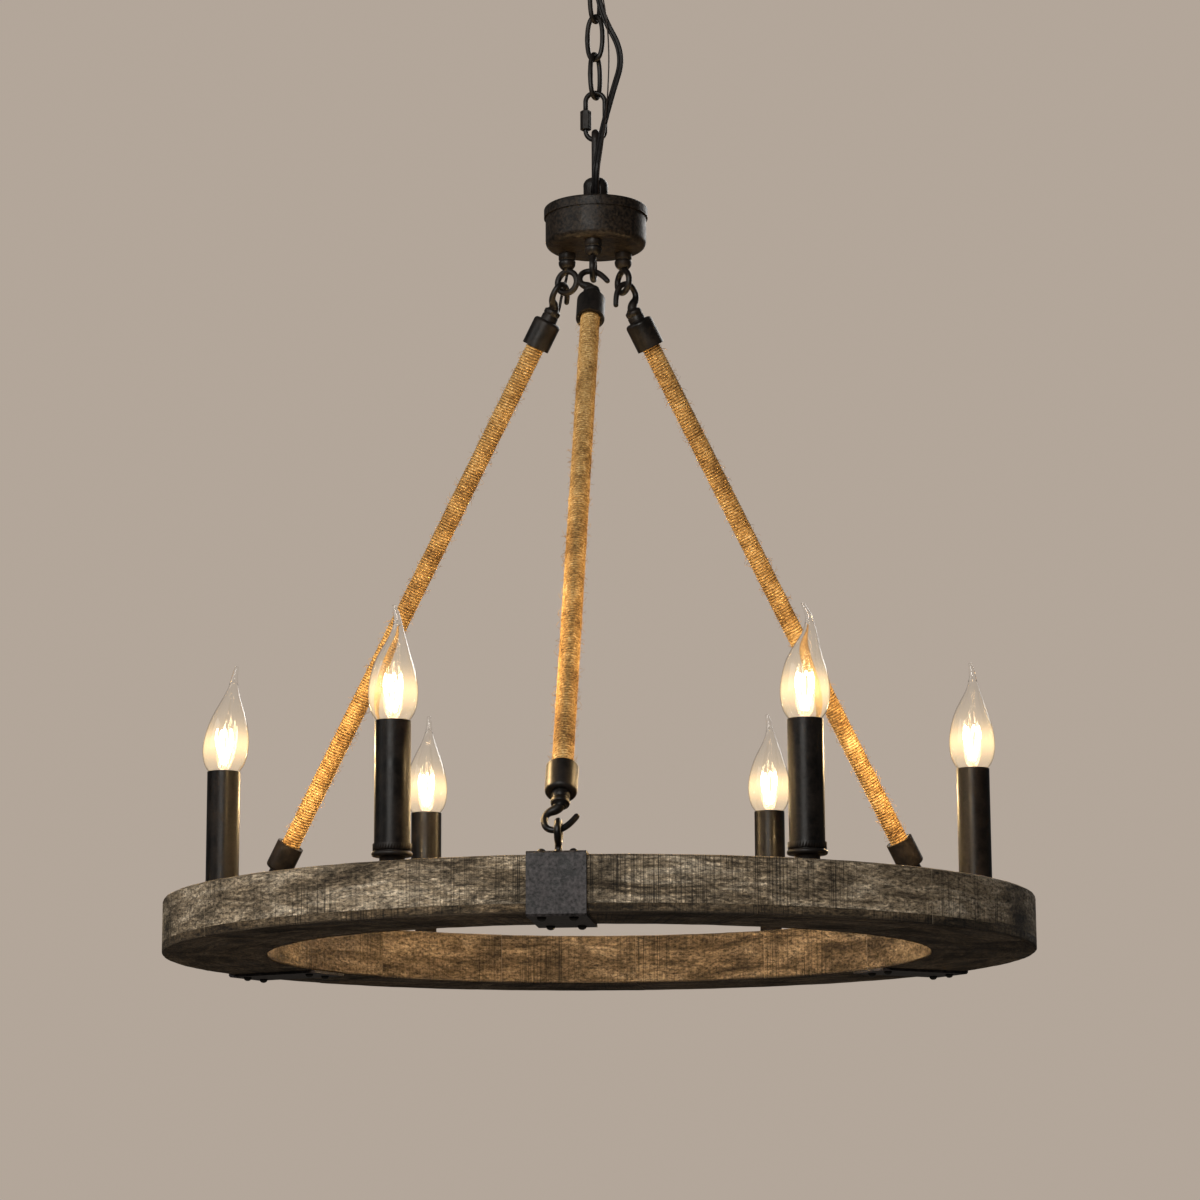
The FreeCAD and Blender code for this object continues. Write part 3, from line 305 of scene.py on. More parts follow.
class Nodes:
    """A short way to build one material's nodes."""

    def __init__(self, name: str) -> None:
        """Start a material with its Principled shader."""
        self.material = bpy.data.materials.new(name)
        self.material.use_nodes = True
        self.tree = self.material.node_tree
        self.shader = self.tree.nodes["Principled BSDF"]

    def add(self, kind: str, **settings: object) -> bpy.types.Node:
        """Add a node of a kind and set its properties."""
        node = self.tree.nodes.new(kind)
        for key, value in settings.items():
            setattr(node, key, value)
        return node

    def link(self, source: Socket, target: Socket) -> None:
        """Join two sockets."""
        self.tree.links.new(source, target)

    def mark(self) -> Socket:
        """The mesh's own mark."""
        return self.add("ShaderNodeAttribute", attribute_name=PIECE_MARK).outputs["Fac"]

    def chart(self) -> Socket:
        """The piece's own map."""
        return self.add("ShaderNodeUVMap", uv_map=SURFACE_MAP).outputs["UV"]

    def place(self) -> Socket:
        """The object's coordinates."""
        return self.add("ShaderNodeTexCoord").outputs["Object"]

    def scaled(self, source: Socket, scale: Triple) -> Socket:
        """Coordinates times a scale."""
        mapping = self.add("ShaderNodeMapping")
        mapping.inputs["Scale"].default_value = scale
        self.link(source, mapping.inputs["Vector"])
        return mapping.outputs["Vector"]

    def noise(
        self, vector: Socket, scale: float, detail: float = 4.0, rough: float = 0.55, twist: float = 0.0
    ) -> Socket:
        """A noise pattern's factor on some coordinates."""
        node = self.add("ShaderNodeTexNoise")
        node.inputs["Scale"].default_value = scale
        node.inputs["Detail"].default_value = detail
        node.inputs["Roughness"].default_value = rough
        node.inputs["Distortion"].default_value = twist
        self.link(vector, node.inputs["Vector"])
        return node.outputs["Fac"]

    def ramp(self, factor: Socket, stops: list[tuple[float, Colour]]) -> Socket:
        """A colour ramp over a factor."""
        node = self.add("ShaderNodeValToRGB")
        elements = node.color_ramp.elements
        while len(elements) < len(stops):
            elements.new(0.5)
        for element, (position, colour) in zip(elements, stops):
            element.position = position
            element.color = colour
        self.link(factor, node.inputs["Fac"])
        return node.outputs["Color"]

    def grey(self, factor: Socket, low: float, high: float, dark: float, light: float) -> Socket:
        """A factor's range from low to high, spread from dark to light."""
        node = self.add("ShaderNodeMapRange")
        node.inputs["From Min"].default_value = low
        node.inputs["From Max"].default_value = high
        node.inputs["To Min"].default_value = dark
        node.inputs["To Max"].default_value = light
        self.link(factor, node.inputs["Value"])
        return node.outputs["Result"]

    def maths(self, operation: str, *values: object) -> Socket:
        """One step of arithmetic on sockets or numbers."""
        node = self.add("ShaderNodeMath", operation=operation)
        for index, value in enumerate(values):
            if isinstance(value, (int, float)):
                node.inputs[index].default_value = value
            else:
                self.link(value, node.inputs[index])
        return node.outputs["Value"]

    def times(self, *values: object) -> Socket:
        """The product of two sockets or numbers."""
        return self.maths("MULTIPLY", *values)

    def plus(self, *values: object) -> Socket:
        """The sum of two sockets or numbers."""
        return self.maths("ADD", *values)

    def minus(self, *values: object) -> Socket:
        """The first of two sockets or numbers less the second."""
        return self.maths("SUBTRACT", *values)

    def shade(self, colour: Socket, by: Socket) -> Socket:
        """A colour multiplied by a grey."""
        node = self.add("ShaderNodeVectorMath", operation="SCALE")
        self.link(colour, node.inputs[0])
        self.link(by, node.inputs["Scale"])
        return node.outputs["Vector"]

    def bump(
        self, height: Socket, distance: float, strength: float = 1.0, under: Socket | None = None
    ) -> Socket:
        """A bump of a real depth in metres, over another if one is given."""
        node = self.add("ShaderNodeBump")
        node.inputs["Strength"].default_value = strength
        node.inputs["Distance"].default_value = distance
        self.link(height, node.inputs["Height"])
        if under is not None:
            self.link(under, node.inputs["Normal"])
        return node.outputs["Normal"]

    def set(self, **values: object) -> None:
        """Set the shader's sockets by name, with underscores for spaces."""
        for key, value in values.items():
            socket = self.shader.inputs[key.replace("_", " ")]
            if isinstance(value, Socket):
                self.link(value, socket)
            else:
                socket.default_value = value


@dataclass(frozen=True)
class IronPaint:
    """Brown-black paint on iron, a little mottled, with the small dents of a hammered skin."""

    name: str
    dark: Colour = (0.0035, 0.003, 0.0028, 1.0)
    light: Colour = (0.014, 0.0105, 0.0085, 1.0)
    roughness: float = 0.4
    gloss: float = 0.2
    dent_depth: float = 0.00025
    dent_size: float = 0.006
    speckle: float = 0.3

    def make(self) -> bpy.types.Material:
        """Build the material."""
        nodes = Nodes(self.name)
        place = nodes.place()
        mottle = nodes.noise(place, 60.0, 6.0, 0.65)
        speck = nodes.noise(place, 420.0, 3.0, 0.6)
        dents = nodes.noise(place, 1.0 / self.dent_size, 2.0, 0.45)
        clouds = nodes.times(mottle, 1.0 - self.speckle)
        mixed = nodes.plus(clouds, nodes.times(speck, self.speckle))
        nodes.set(
            Base_Color=nodes.ramp(mixed, [(0.42, self.dark), (0.62, self.light)]),
            Roughness=nodes.grey(mottle, 0.3, 0.7, self.roughness - 0.1, self.roughness + 0.14),
            Normal=nodes.bump(dents, self.dent_depth, 0.8, nodes.bump(speck, 0.00035 * self.speckle)),
            Specular_IOR_Level=self.gloss,
        )
        return nodes.material


@dataclass(frozen=True)
class BareMetal:
    """Plated or bare metal with fine scuffs."""

    name: str
    colour: Colour
    roughness: float = 0.32

    def make(self) -> bpy.types.Material:
        """Build the material."""
        nodes = Nodes(self.name)
        place = nodes.place()
        cloud = nodes.noise(place, 90.0, 5.0, 0.6)
        dull = tuple(0.72 * part for part in self.colour[:3]) + (1.0,)
        nodes.set(
            Base_Color=nodes.ramp(cloud, [(0.35, dull), (0.65, self.colour)]),
            Roughness=nodes.grey(cloud, 0.3, 0.7, self.roughness - 0.08, self.roughness + 0.12),
            Metallic=1.0,
            Normal=nodes.bump(nodes.noise(place, 700.0, 2.0), 0.00002, 0.5),
        )
        return nodes.material


@dataclass(frozen=True)
class HempTwine:
    """Golden-brown twisted hemp: the map runs along and round the twine, and the mark is low in the grooves,
    where it darkens the colour as painted shade.
    """

    name: str = "hemp_twine_dressed"

    def make(self) -> bpy.types.Material:
        """Build the material."""
        nodes = Nodes(self.name)
        fibres = nodes.noise(nodes.scaled(nodes.chart(), (300.0, 7.0, 1.0)), 1.0, 5.0, 0.75, 0.6)
        tufts = nodes.noise(nodes.place(), 520.0, 3.0, 0.7)
        slow = nodes.noise(nodes.place(), 45.0, 3.0, 0.6)
        fine = nodes.plus(nodes.times(fibres, 0.45), nodes.times(tufts, 0.3))
        mixed = nodes.plus(fine, nodes.times(slow, 0.25))
        colour = nodes.ramp(
            mixed,
            [
                (0.4, (0.075, 0.034, 0.009, 1.0)),
                (0.47, (0.26, 0.145, 0.045, 1.0)),
                (0.54, (0.5, 0.31, 0.11, 1.0)),
                (0.62, (0.88, 0.66, 0.34, 1.0)),
            ],
        )
        # Painted shade: the colour darkens where the mark is low, in the grooves between turns.
        shadow = nodes.grey(nodes.mark(), 0.3, 0.95, 0.14, 1.06)
        height = nodes.plus(nodes.times(fibres, 0.5), nodes.times(tufts, 0.5))
        nodes.set(
            Base_Color=nodes.shade(colour, shadow),
            Roughness=0.85,
            Normal=nodes.bump(height, 0.0007),
            Specular_IOR_Level=0.25,
        )
        return nodes.material


@dataclass(frozen=True)
class WeatheredWood:
    """Weathered boards: the map is metres along the rim and round a board's section.

    The mark tells boards apart. The sawn outer wall, where the map's second value is low, was stained as one,
    and the other faces keep each board's own grain. The other faces are also darker and warmer, as painted
    shade and painted warm light of the lamps, and the underside is darker still, as painted shade.
    """

    name: str = "weathered_wood_dressed"
    outer_wall: float = 0.042
    inner_edge: float = 0.1215

    def make(self) -> bpy.types.Material:
        """Build the material."""
        nodes = Nodes(self.name)
        chart = nodes.chart()
        parts = nodes.add("ShaderNodeSeparateXYZ")
        nodes.link(chart, parts.inputs["Vector"])
        within = nodes.maths("GREATER_THAN", parts.outputs["Y"], self.outer_wall)
        own = nodes.times(nodes.mark(), within)
        apart = nodes.add("ShaderNodeCombineXYZ")
        nodes.link(nodes.times(own, 7.3), apart.inputs["X"])
        nodes.link(nodes.times(own, 3.1), apart.inputs["Y"])
        moved = nodes.add("ShaderNodeVectorMath", operation="ADD")
        nodes.link(chart, moved.inputs[0])
        nodes.link(apart.outputs["Vector"], moved.inputs[1])

        def figure(along: float, around: float, detail: float, rough: float, twist: float = 0.0) -> Socket:
            """A noise with so many waves in a metre along the rim and round the board's section."""
            waves = nodes.scaled(moved.outputs["Vector"], (along, around, 1.0))
            return nodes.noise(waves, 1.0, detail, rough, twist)

        grain = figure(11.0, 110.0, 9.0, 0.75, 0.8)
        flecks = figure(190.0, 760.0, 4.0, 0.8)
        saw = figure(820.0, 9.0, 2.0, 0.75)
        sawn = figure(11.0, 16.0, 2.0, 0.5)
        cracks = figure(17.0, 210.0, 5.0, 0.7, 1.5)
        patches = figure(14.0, 34.0, 7.0, 0.72, 0.6)
        colour = nodes.ramp(
            grain,
            [
                (0.36, (0.085, 0.06, 0.037, 1.0)),
                (0.45, (0.24, 0.18, 0.112, 1.0)),
                (0.53, (0.43, 0.335, 0.225, 1.0)),
                (0.64, (0.72, 0.6, 0.445, 1.0)),
            ],
        )
        line = nodes.grey(saw, 0.36, 0.5, 0.0, 1.0)
        presence = nodes.grey(sawn, 0.36, 0.54, 0.15, 0.85)
        lines = nodes.minus(1.0, nodes.times(presence, nodes.minus(1.0, line)))
        specks = nodes.grey(flecks, 0.38, 0.58, 0.22, 1.5)
        splits = nodes.grey(cracks, 0.32, 0.42, 0.25, 1.0)
        stains = nodes.grey(patches, 0.38, 0.52, 0.42, 1.06)
        # Painted shade: every face but the outer wall is darkened by 0.56, less a board tone of up to 0.2 from
        # the mark.
        inner_painted_shade_and_board_tone = nodes.minus(nodes.times(within, 0.56), nodes.times(own, 0.2))
        # Painted shade: the underside, where the map's second value is below inner_edge, is darkened by 0.24
        # more.
        underside_painted_shade = nodes.times(nodes.maths("LESS_THAN", parts.outputs["Y"], self.inner_edge), within)
        tone_with_painted_shade = nodes.minus(nodes.minus(1.06, inner_painted_shade_and_board_tone), nodes.times(underside_painted_shade, 0.24))
        marks = nodes.times(nodes.times(lines, specks), splits)
        shade = nodes.times(nodes.times(marks, stains), tone_with_painted_shade)
        # Painted warm light: every face but the outer wall is tinted orange, as the lamps' warm light on the
        # inner wall.
        painted_lamp_warmth = nodes.add("ShaderNodeVectorMath", operation="MULTIPLY")
        nodes.link(nodes.shade(colour, shade), painted_lamp_warmth.inputs[0])
        nodes.link(nodes.ramp(within, [(0.0, (1, 1, 1, 1)), (1.0, (1, 0.9, 0.76, 1))]), painted_lamp_warmth.inputs[1])
        nodes.set(
            Base_Color=painted_lamp_warmth.outputs["Vector"],
            Roughness=nodes.grey(patches, 0.4, 0.6, 0.9, 0.6),
            Normal=nodes.bump(marks, 0.0009, 1.0, nodes.bump(grain, 0.0014, 0.8)),
            Specular_IOR_Level=0.32,
        )
        return nodes.material


@dataclass(frozen=True)
class LampGlass:
    """Clear blown glass, very slightly wavy, with a painted glow of the filament's warm light where the mark is
    high, and painted shade darkening its colour at grazing angles.
    """

    name: str = "clear_glass_dressed"
    painted_glow_strength: float = 0.5

    def make(self) -> bpy.types.Material:
        """Build the material."""
        nodes = Nodes(self.name)
        # Painted shade: the glass's colour darkens towards grazing angles, a dark outline standing in for the
        # edges that refraction gives.
        edge = nodes.add("ShaderNodeLayerWeight")
        edge.inputs["Blend"].default_value = 0.5
        clear, grazing_painted_shade = (0.99, 0.985, 0.97, 1.0), (0.5, 0.44, 0.36, 1.0)
        nodes.set(
            Base_Color=nodes.ramp(edge.outputs["Facing"], [(0.62, clear), (0.98, grazing_painted_shade)]),
            Roughness=0.015,
            IOR=1.45,
            Normal=nodes.bump(nodes.noise(nodes.place(), 70.0, 1.0), 0.00008, 0.4),
            Emission_Color=(1.0, 0.67, 0.28, 1.0),
            Emission_Strength=nodes.times(nodes.mark(), self.painted_glow_strength),
            Transmission_Weight=1.0,
        )
        nodes.material.cycles.emission_sampling = "NONE"
        return nodes.material


@dataclass(frozen=True)
class Glow:
    """A body that gives light."""

    name: str
    colour: Colour
    strength: float

    def make(self) -> bpy.types.Material:
        """Build the material."""
        nodes = Nodes(self.name)
        nodes.set(
            Base_Color=self.colour, Emission_Color=self.colour, Emission_Strength=self.strength, Roughness=0.6
        )
        nodes.material.cycles.emission_sampling = "NONE"
        return nodes.material


@dataclass(frozen=True)
class Sheath:
    """A cord's smooth sheath, faintly scuffed."""

    name: str
    colour: Colour
    roughness: float = 0.42
    gloss: float = 0.16

    def make(self) -> bpy.types.Material:
        """Build the material."""
        nodes = Nodes(self.name)
        place = nodes.place()
        scuffs = nodes.noise(place, 320.0, 4.0, 0.6)
        pale = tuple(min(1.0, 1.9 * part + 0.001) for part in self.colour[:3]) + (1.0,)
        nodes.set(
            Base_Color=nodes.ramp(scuffs, [(0.4, self.colour), (0.75, pale)]),
            Roughness=nodes.grey(scuffs, 0.3, 0.7, self.roughness - 0.08, self.roughness + 0.12),
            Normal=nodes.bump(scuffs, 0.00003, 0.5),
            Specular_IOR_Level=self.gloss,
        )
        return nodes.material


# --------------------------------------------------------------------------------------------------
# Pieces that keep a CAD node's shape
# --------------------------------------------------------------------------------------------------


def place_piece(
    obj: bpy.types.Object, body: str, slot: Slot, material: bpy.types.Material, *nodes: str
) -> bpy.types.Object:
    """Give a new piece its material and body, and hide the nodes that it stands for.

    Args:
        obj: The piece.
        body: The CAD body that it rides on.
        slot: Not used; the record's slot that its finish comes from.
        material: Its material.
        nodes: The CAD nodes that it replaces.

    Returns:
        The piece.
    """
    obj.data.materials.clear()
    obj.data.materials.append(material)
    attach(obj, body)
    if nodes:
        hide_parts(*nodes)
    LOG.info("%s: %d faces on %s", obj.name, len(obj.data.polygons), body)
    return obj


def rounded_node(
    node: str, body: str, slot: Slot, material: bpy.types.Material, sharp: float, bevel: float = 0.0
) -> bpy.types.Object:
    """A CAD node's own shape with its doubles merged, flat faces joined, edges softened and smooth shading.

    Args:
        node: The CAD node.
        body: The body that it rides on.
        slot: The record's slot, passed on but not used.
        material: Its material.
        sharp: The angle in degrees past which edges stay sharp.
        bevel: The width in metres that sharp edges are rounded by.

    Returns:
        The new piece.
    """
    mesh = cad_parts[node].data.copy()
    work = bmesh.new()
    work.from_mesh(mesh)
    bmesh.ops.remove_doubles(work, verts=work.verts, dist=2e-6)
    if bevel > 0:
        flat = [edge for edge in work.edges if len(edge.link_faces) == 2 and edge.calc_face_angle() < 0.002]
        bmesh.ops.dissolve_edges(work, edges=flat, use_verts=False)
    work.to_mesh(mesh)
    work.free()
    obj = bpy.data.objects.new(f"{node}_dressed", mesh)
    bpy.context.scene.collection.objects.link(obj)
    if bevel > 0:
        rounding = obj.modifiers.new("rounded edges", "BEVEL")
        rounding.width = bevel
        rounding.segments = 2
        rounding.limit_method = "ANGLE"
        rounding.angle_limit = math.radians(50)
    shade_smooth(mesh, sharp)
    return place_piece(obj, body, slot, material, node)


# --------------------------------------------------------------------------------------------------
# Camera, light and floor
# --------------------------------------------------------------------------------------------------


@dataclass
class Studio:
    """The camera at the photographed angle, soft lamps, a plain floor and a pale surround."""

    camera_place: tuple[float, float, float] = (0.01219, -2.7215, -1.1414)
    heading: float = 0.217
    tilt: float = 10.926
    roll: float = 0.283
    lens: float = 104.22
    surround: Colour = (0.45, 0.382, 0.322, 1.0)
    sky_tint: Colour = (0.95, 0.92, 0.88, 1.0)
    sky_strength: float = 0.1
    floor_tint: Colour = (0.55, 0.5, 0.45, 1.0)
    floor_glow: float = 0.8
    floor_height: float = -3.1
    floor_reach: float = 60.0
    soft_lamps: tuple[tuple[str, Triple, float, float, Triple], ...] = (
        ("key_lamp", (-0.8, -2.8, 0.1), 1.3, 70.0, (1.0, 0.97, 0.92)),
        ("side_lamp", (-2.3, -1.0, 0.3), 1.5, 16.0, (1.0, 0.97, 0.93)),
        ("back_lamp", (1.2, 2.4, 0.8), 1.5, 30.0, (1.0, 0.97, 0.93)),
    )
    lit_height: float = -732.0
    bulb_power: float = 2.8
    bulb_tint: Triple = (1.0, 0.66, 0.3)

    def set_camera(self) -> None:
        """Put the camera where the photograph was taken from."""
        heading, tilt, roll = (math.radians(angle) for angle in (self.heading, self.tilt, self.roll))
        ahead = Vector((-math.sin(heading), math.cos(heading), 0))
        level = Vector((math.cos(heading), math.sin(heading), 0))
        forward = math.cos(tilt) * ahead + math.sin(tilt) * Vector((0, 0, 1))
        above = math.cos(tilt) * Vector((0, 0, 1)) - math.sin(tilt) * ahead
        right = math.cos(roll) * level - math.sin(roll) * above
        up = math.sin(roll) * level + math.cos(roll) * above
        data = bpy.data.cameras.new("photo_camera")
        data.lens = self.lens
        data.sensor_width = 36.0
        data.sensor_fit = "HORIZONTAL"
        data.clip_end = 200.0
        camera = bpy.data.objects.new("photo_camera", data)
        turn = Matrix((right, up, -forward)).transposed().to_4x4()
        camera.matrix_world = Matrix.Translation(self.camera_place) @ turn
        bpy.context.scene.collection.objects.link(camera)
        bpy.context.scene.camera = camera

    def add_lamp(self, data: bpy.types.Light, place: Matrix, power: float, tint: Triple) -> None:
        """Put a lamp in the scene, hidden from the camera and in glass."""
        data.energy = power
        data.color = tint
        lamp = bpy.data.objects.new(data.name, data)
        lamp.matrix_world = place
        lamp.visible_transmission = False
        lamp.visible_camera = False
        bpy.context.scene.collection.objects.link(lamp)

    def set_lamps(self) -> None:
        """Add the studio's square lamps, which face the object, and a small warm lamp at each filament."""
        for name, place, size, power, tint in self.soft_lamps:
            data = bpy.data.lights.new(name, "AREA")
            data.size = size
            aim = Vector((0, 0, -0.6)) - Vector(place)
            turn = aim.to_track_quat("-Z", "Y").to_matrix().to_4x4()
            self.add_lamp(data, Matrix.Translation(place) @ turn, power, tint)
        for number in range(LIGHT_COUNT):
            data = bpy.data.lights.new(f"bulb_{number + 1}_light", "POINT")
            data.shadow_soft_size = 0.008
            place = Matrix.Translation(light_place(number, self.lit_height) * MM)
            self.add_lamp(data, place, self.bulb_power, self.bulb_tint)

    def set_surround(self) -> None:
        """Make the world: a pale surround for the camera and in glass, and a dim sky that lights the object."""
        world = bpy.data.worlds.new("surround")
        bpy.context.scene.world = world
        world.use_nodes = True
        tree = world.node_tree
        tree.nodes.clear()
        paths = tree.nodes.new("ShaderNodeLightPath")
        seen = tree.nodes.new("ShaderNodeMath")
        seen.operation = "MAXIMUM"
        tree.links.new(paths.outputs["Is Camera Ray"], seen.inputs[0])
        tree.links.new(paths.outputs["Is Transmission Ray"], seen.inputs[1])
        shown = tree.nodes.new("ShaderNodeBackground")
        shown.inputs["Color"].default_value = self.surround
        shown.inputs["Strength"].default_value = 1.0
        light = tree.nodes.new("ShaderNodeBackground")
        light.inputs["Color"].default_value = self.sky_tint
        light.inputs["Strength"].default_value = self.sky_strength
        mixed = tree.nodes.new("ShaderNodeMixShader")
        tree.links.new(seen.outputs["Value"], mixed.inputs["Fac"])
        tree.links.new(light.outputs["Background"], mixed.inputs[1])
        tree.links.new(shown.outputs["Background"], mixed.inputs[2])
        output = tree.nodes.new("ShaderNodeOutputWorld")
        tree.links.new(mixed.outputs["Shader"], output.inputs["Surface"])

    def set_floor(self) -> None:
        """Lay the plain floor, nearly as pale as the surround for the camera and in glass."""
        nodes = Nodes("pale_floor")
        paths = nodes.add("ShaderNodeLightPath").outputs
        seen = nodes.maths("MAXIMUM", paths["Is Camera Ray"], paths["Is Transmission Ray"])
        nodes.set(
            Base_Color=self.floor_tint,
            Roughness=0.9,
            Emission_Color=self.surround,
            Emission_Strength=nodes.times(seen, self.floor_glow),
        )
        nodes.material.cycles.emission_sampling = "NONE"
        side = self.floor_reach
        mesh = bpy.data.meshes.new("floor")
        corners = [(-side, -side), (side, -side), (side, side), (-side, side)]
        mesh.from_pydata([(x, y, self.floor_height) for x, y in corners], [], [(0, 1, 2, 3)])
        mesh.materials.append(nodes.material)
        floor = bpy.data.objects.new("floor", mesh)
        bpy.context.scene.collection.objects.link(floor)

    def build(self) -> None:
        """Set the stage."""
        bpy.context.scene.view_settings.view_transform = "Standard"
        self.set_camera()
        self.set_lamps()
        self.set_surround()
        self.set_floor()


# --------------------------------------------------------------------------------------------------
# Cords
# --------------------------------------------------------------------------------------------------


@dataclass(frozen=True)
class CordKind:
    """One run of cord beside the chain: its route, section and name."""

    name: str
    route: tuple[tuple[float, float, float], ...]
    width: float
    thickness: float
    stiffness: str


TWIN_CORD = CordKind(
    "twin_cord",
    (
        (-0.9, -1.2, -37.0), (-0.9, -13.2, -53.0), (-2.0, -14.5, -74.2), (0.0, -12.0, -94.2),
        (5.5, -10.5, -128.2), (24.0, -8.5, -162.2), (13.5, -9.5, -197.2), (5.6, -11.6, -228.2),
        (2.5, -14.5, -246.2), (-0.9, -16.8, -267.8), (-0.9, -1.2, -288.6),
    ),
    5.2,
    2.6,
    "medium",
)
EARTH_WIRE = CordKind(
    "earth_wire",
    (
        (2.0, -1.2, -37.0), (2.0, -13.2, -53.0), (1.0, -17.3, -74.2), (3.0, -15.0, -94.2),
        (9.5, -13.4, -129.2), (11.8, -12.2, -161.2), (10.5, -12.6, -196.2), (7.5, -14.4, -228.2),
        (5.4, -17.4, -246.2), (2.0, -16.8, -267.8), (2.0, -1.2, -288.6),
    ),
    1.2,
    1.2,
    "medium",
)
CORD_CUTS_AFTER = (3, 4, 5, 6)


def spline_points(name: str, points: np.ndarray) -> np.ndarray:
    """The points of a quadratic NURBS line with some control points, in metres.

    Args:
        name: A name for the short-lived curve.
        points: The control points, in metres.

    Returns:
        The line's points.
    """
    data = bpy.data.curves.new(name, "CURVE")
    data.dimensions = "3D"
    line = data.splines.new("NURBS")
    line.points.add(len(points) - 1)
    for point, place in zip(line.points, points):
        point.co = (*place, 1.0)
    line.order_u = 3
    line.use_endpoint_u = True
    line.resolution_u = 14
    curve = bpy.data.objects.new(name, data)
    mesh = bpy.data.meshes.new_from_object(curve)
    found = np.zeros(len(mesh.vertices) * 3)
    mesh.vertices.foreach_get("co", found)
    bpy.data.meshes.remove(mesh)
    bpy.data.objects.remove(curve)
    bpy.data.curves.remove(data)
    return found.reshape(-1, 3)


def twin_section(width: float, thickness: float) -> np.ndarray:
    """A cord's outline: a circle, or for a flat twin cord two lobes about x = +-w/4 with a shallow waist."""
    if width <= thickness:
        return ring_section(10) * width / 2
    angle = np.arange(24) * 2 * np.pi / 24
    x = np.cos(angle) * width / 2
    lobe = np.sqrt(np.clip(1 - ((np.abs(x) - width / 4) / (width / 4)) ** 2, 0, 1))
    y = np.sign(np.sin(angle)) * thickness / 2 * np.clip(lobe, 0.55 * (np.abs(x) < width / 4), 1)
    return np.stack([x, y], axis=1)


def finish_cord(
    obj: bpy.types.Object,
    sheath: bpy.types.Material,
    node: str,
) -> None:
    """Give a cord its sheath and hide the CAD node that it replaces.

    Args:
        obj: The cord.
        sheath: Its material.
        node: The CAD node that it replaces.
    """
    obj.data.materials.append(sheath)
    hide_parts(node)


def cord_mesh(name: str, path: np.ndarray, section: np.ndarray) -> bpy.types.Object:
    """A cord's mesh: its section carried along its path."""
    length = float(np.linalg.norm(np.diff(path, axis=0), axis=1).sum())
    draft = MeshDraft()
    draft.grid(sweep(path, section, 1.0, X_AXIS), (length, 1.0))
    return draft.build(name, 70.0)


@dataclass
class ChainCords:
    """The flat twin cord and the earth wire, each in five lengths that meet between the chain's joints."""

    bodies: tuple[str, ...] = ("ceiling", "upper_link", "middle_link", "lower_link", "screw_link", "hub")
    joint_heights: tuple[float, ...] = (-98.6, -130.4, -163.4, -196.4, -232.5)
    blend_reach: float = 12.0

    def pieces_of(self, kind: CordKind) -> list[np.ndarray]:
        """Split a route at the middles of its cut runs, as the part's source does."""
        points = np.array(kind.route)
        cuts = [(points[index] + points[index + 1]) / 2 for index in CORD_CUTS_AFTER]
        starts = [0] + [index + 1 for index in CORD_CUTS_AFTER]
        ends = [index + 1 for index in CORD_CUTS_AFTER] + [len(points)]
        pieces = []
        for number, (start, end) in enumerate(zip(starts, ends)):
            run = [points[start:end]]
            if number > 0:
                run.insert(0, cuts[number - 1][None])
            if number < len(cuts):
                run.append(cuts[number][None])
            pieces.append(np.vstack(run))
        return pieces

    def build(self) -> None:
        sheath = Sheath("black_sheath", (0.0035, 0.003, 0.003, 1.0)).make()
        wire = Sheath("brown_wire", (0.012, 0.008, 0.006, 1.0), 0.35).make()
        for kind, material in ((TWIN_CORD, sheath), (EARTH_WIRE, wire)):
            section = twin_section(kind.width * MM, kind.thickness * MM)
            for number, run in enumerate(self.pieces_of(kind), start=1):
                path = spline_points(f"{kind.name}_{number}_line", run * MM)
                obj = cord_mesh(f"{kind.name}_{number}", path, section)
                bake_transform(obj)
                finish_cord(obj, material, f"cord_{number}")


# --------------------------------------------------------------------------------------------------
# Arms
# --------------------------------------------------------------------------------------------------

HUB_EYE_CENTRE = -349.2
STRAP_EYE_CENTRE = -842.2
HUB_EYE_BEND = 9.0
STRAP_EYE_BEND = 7.5


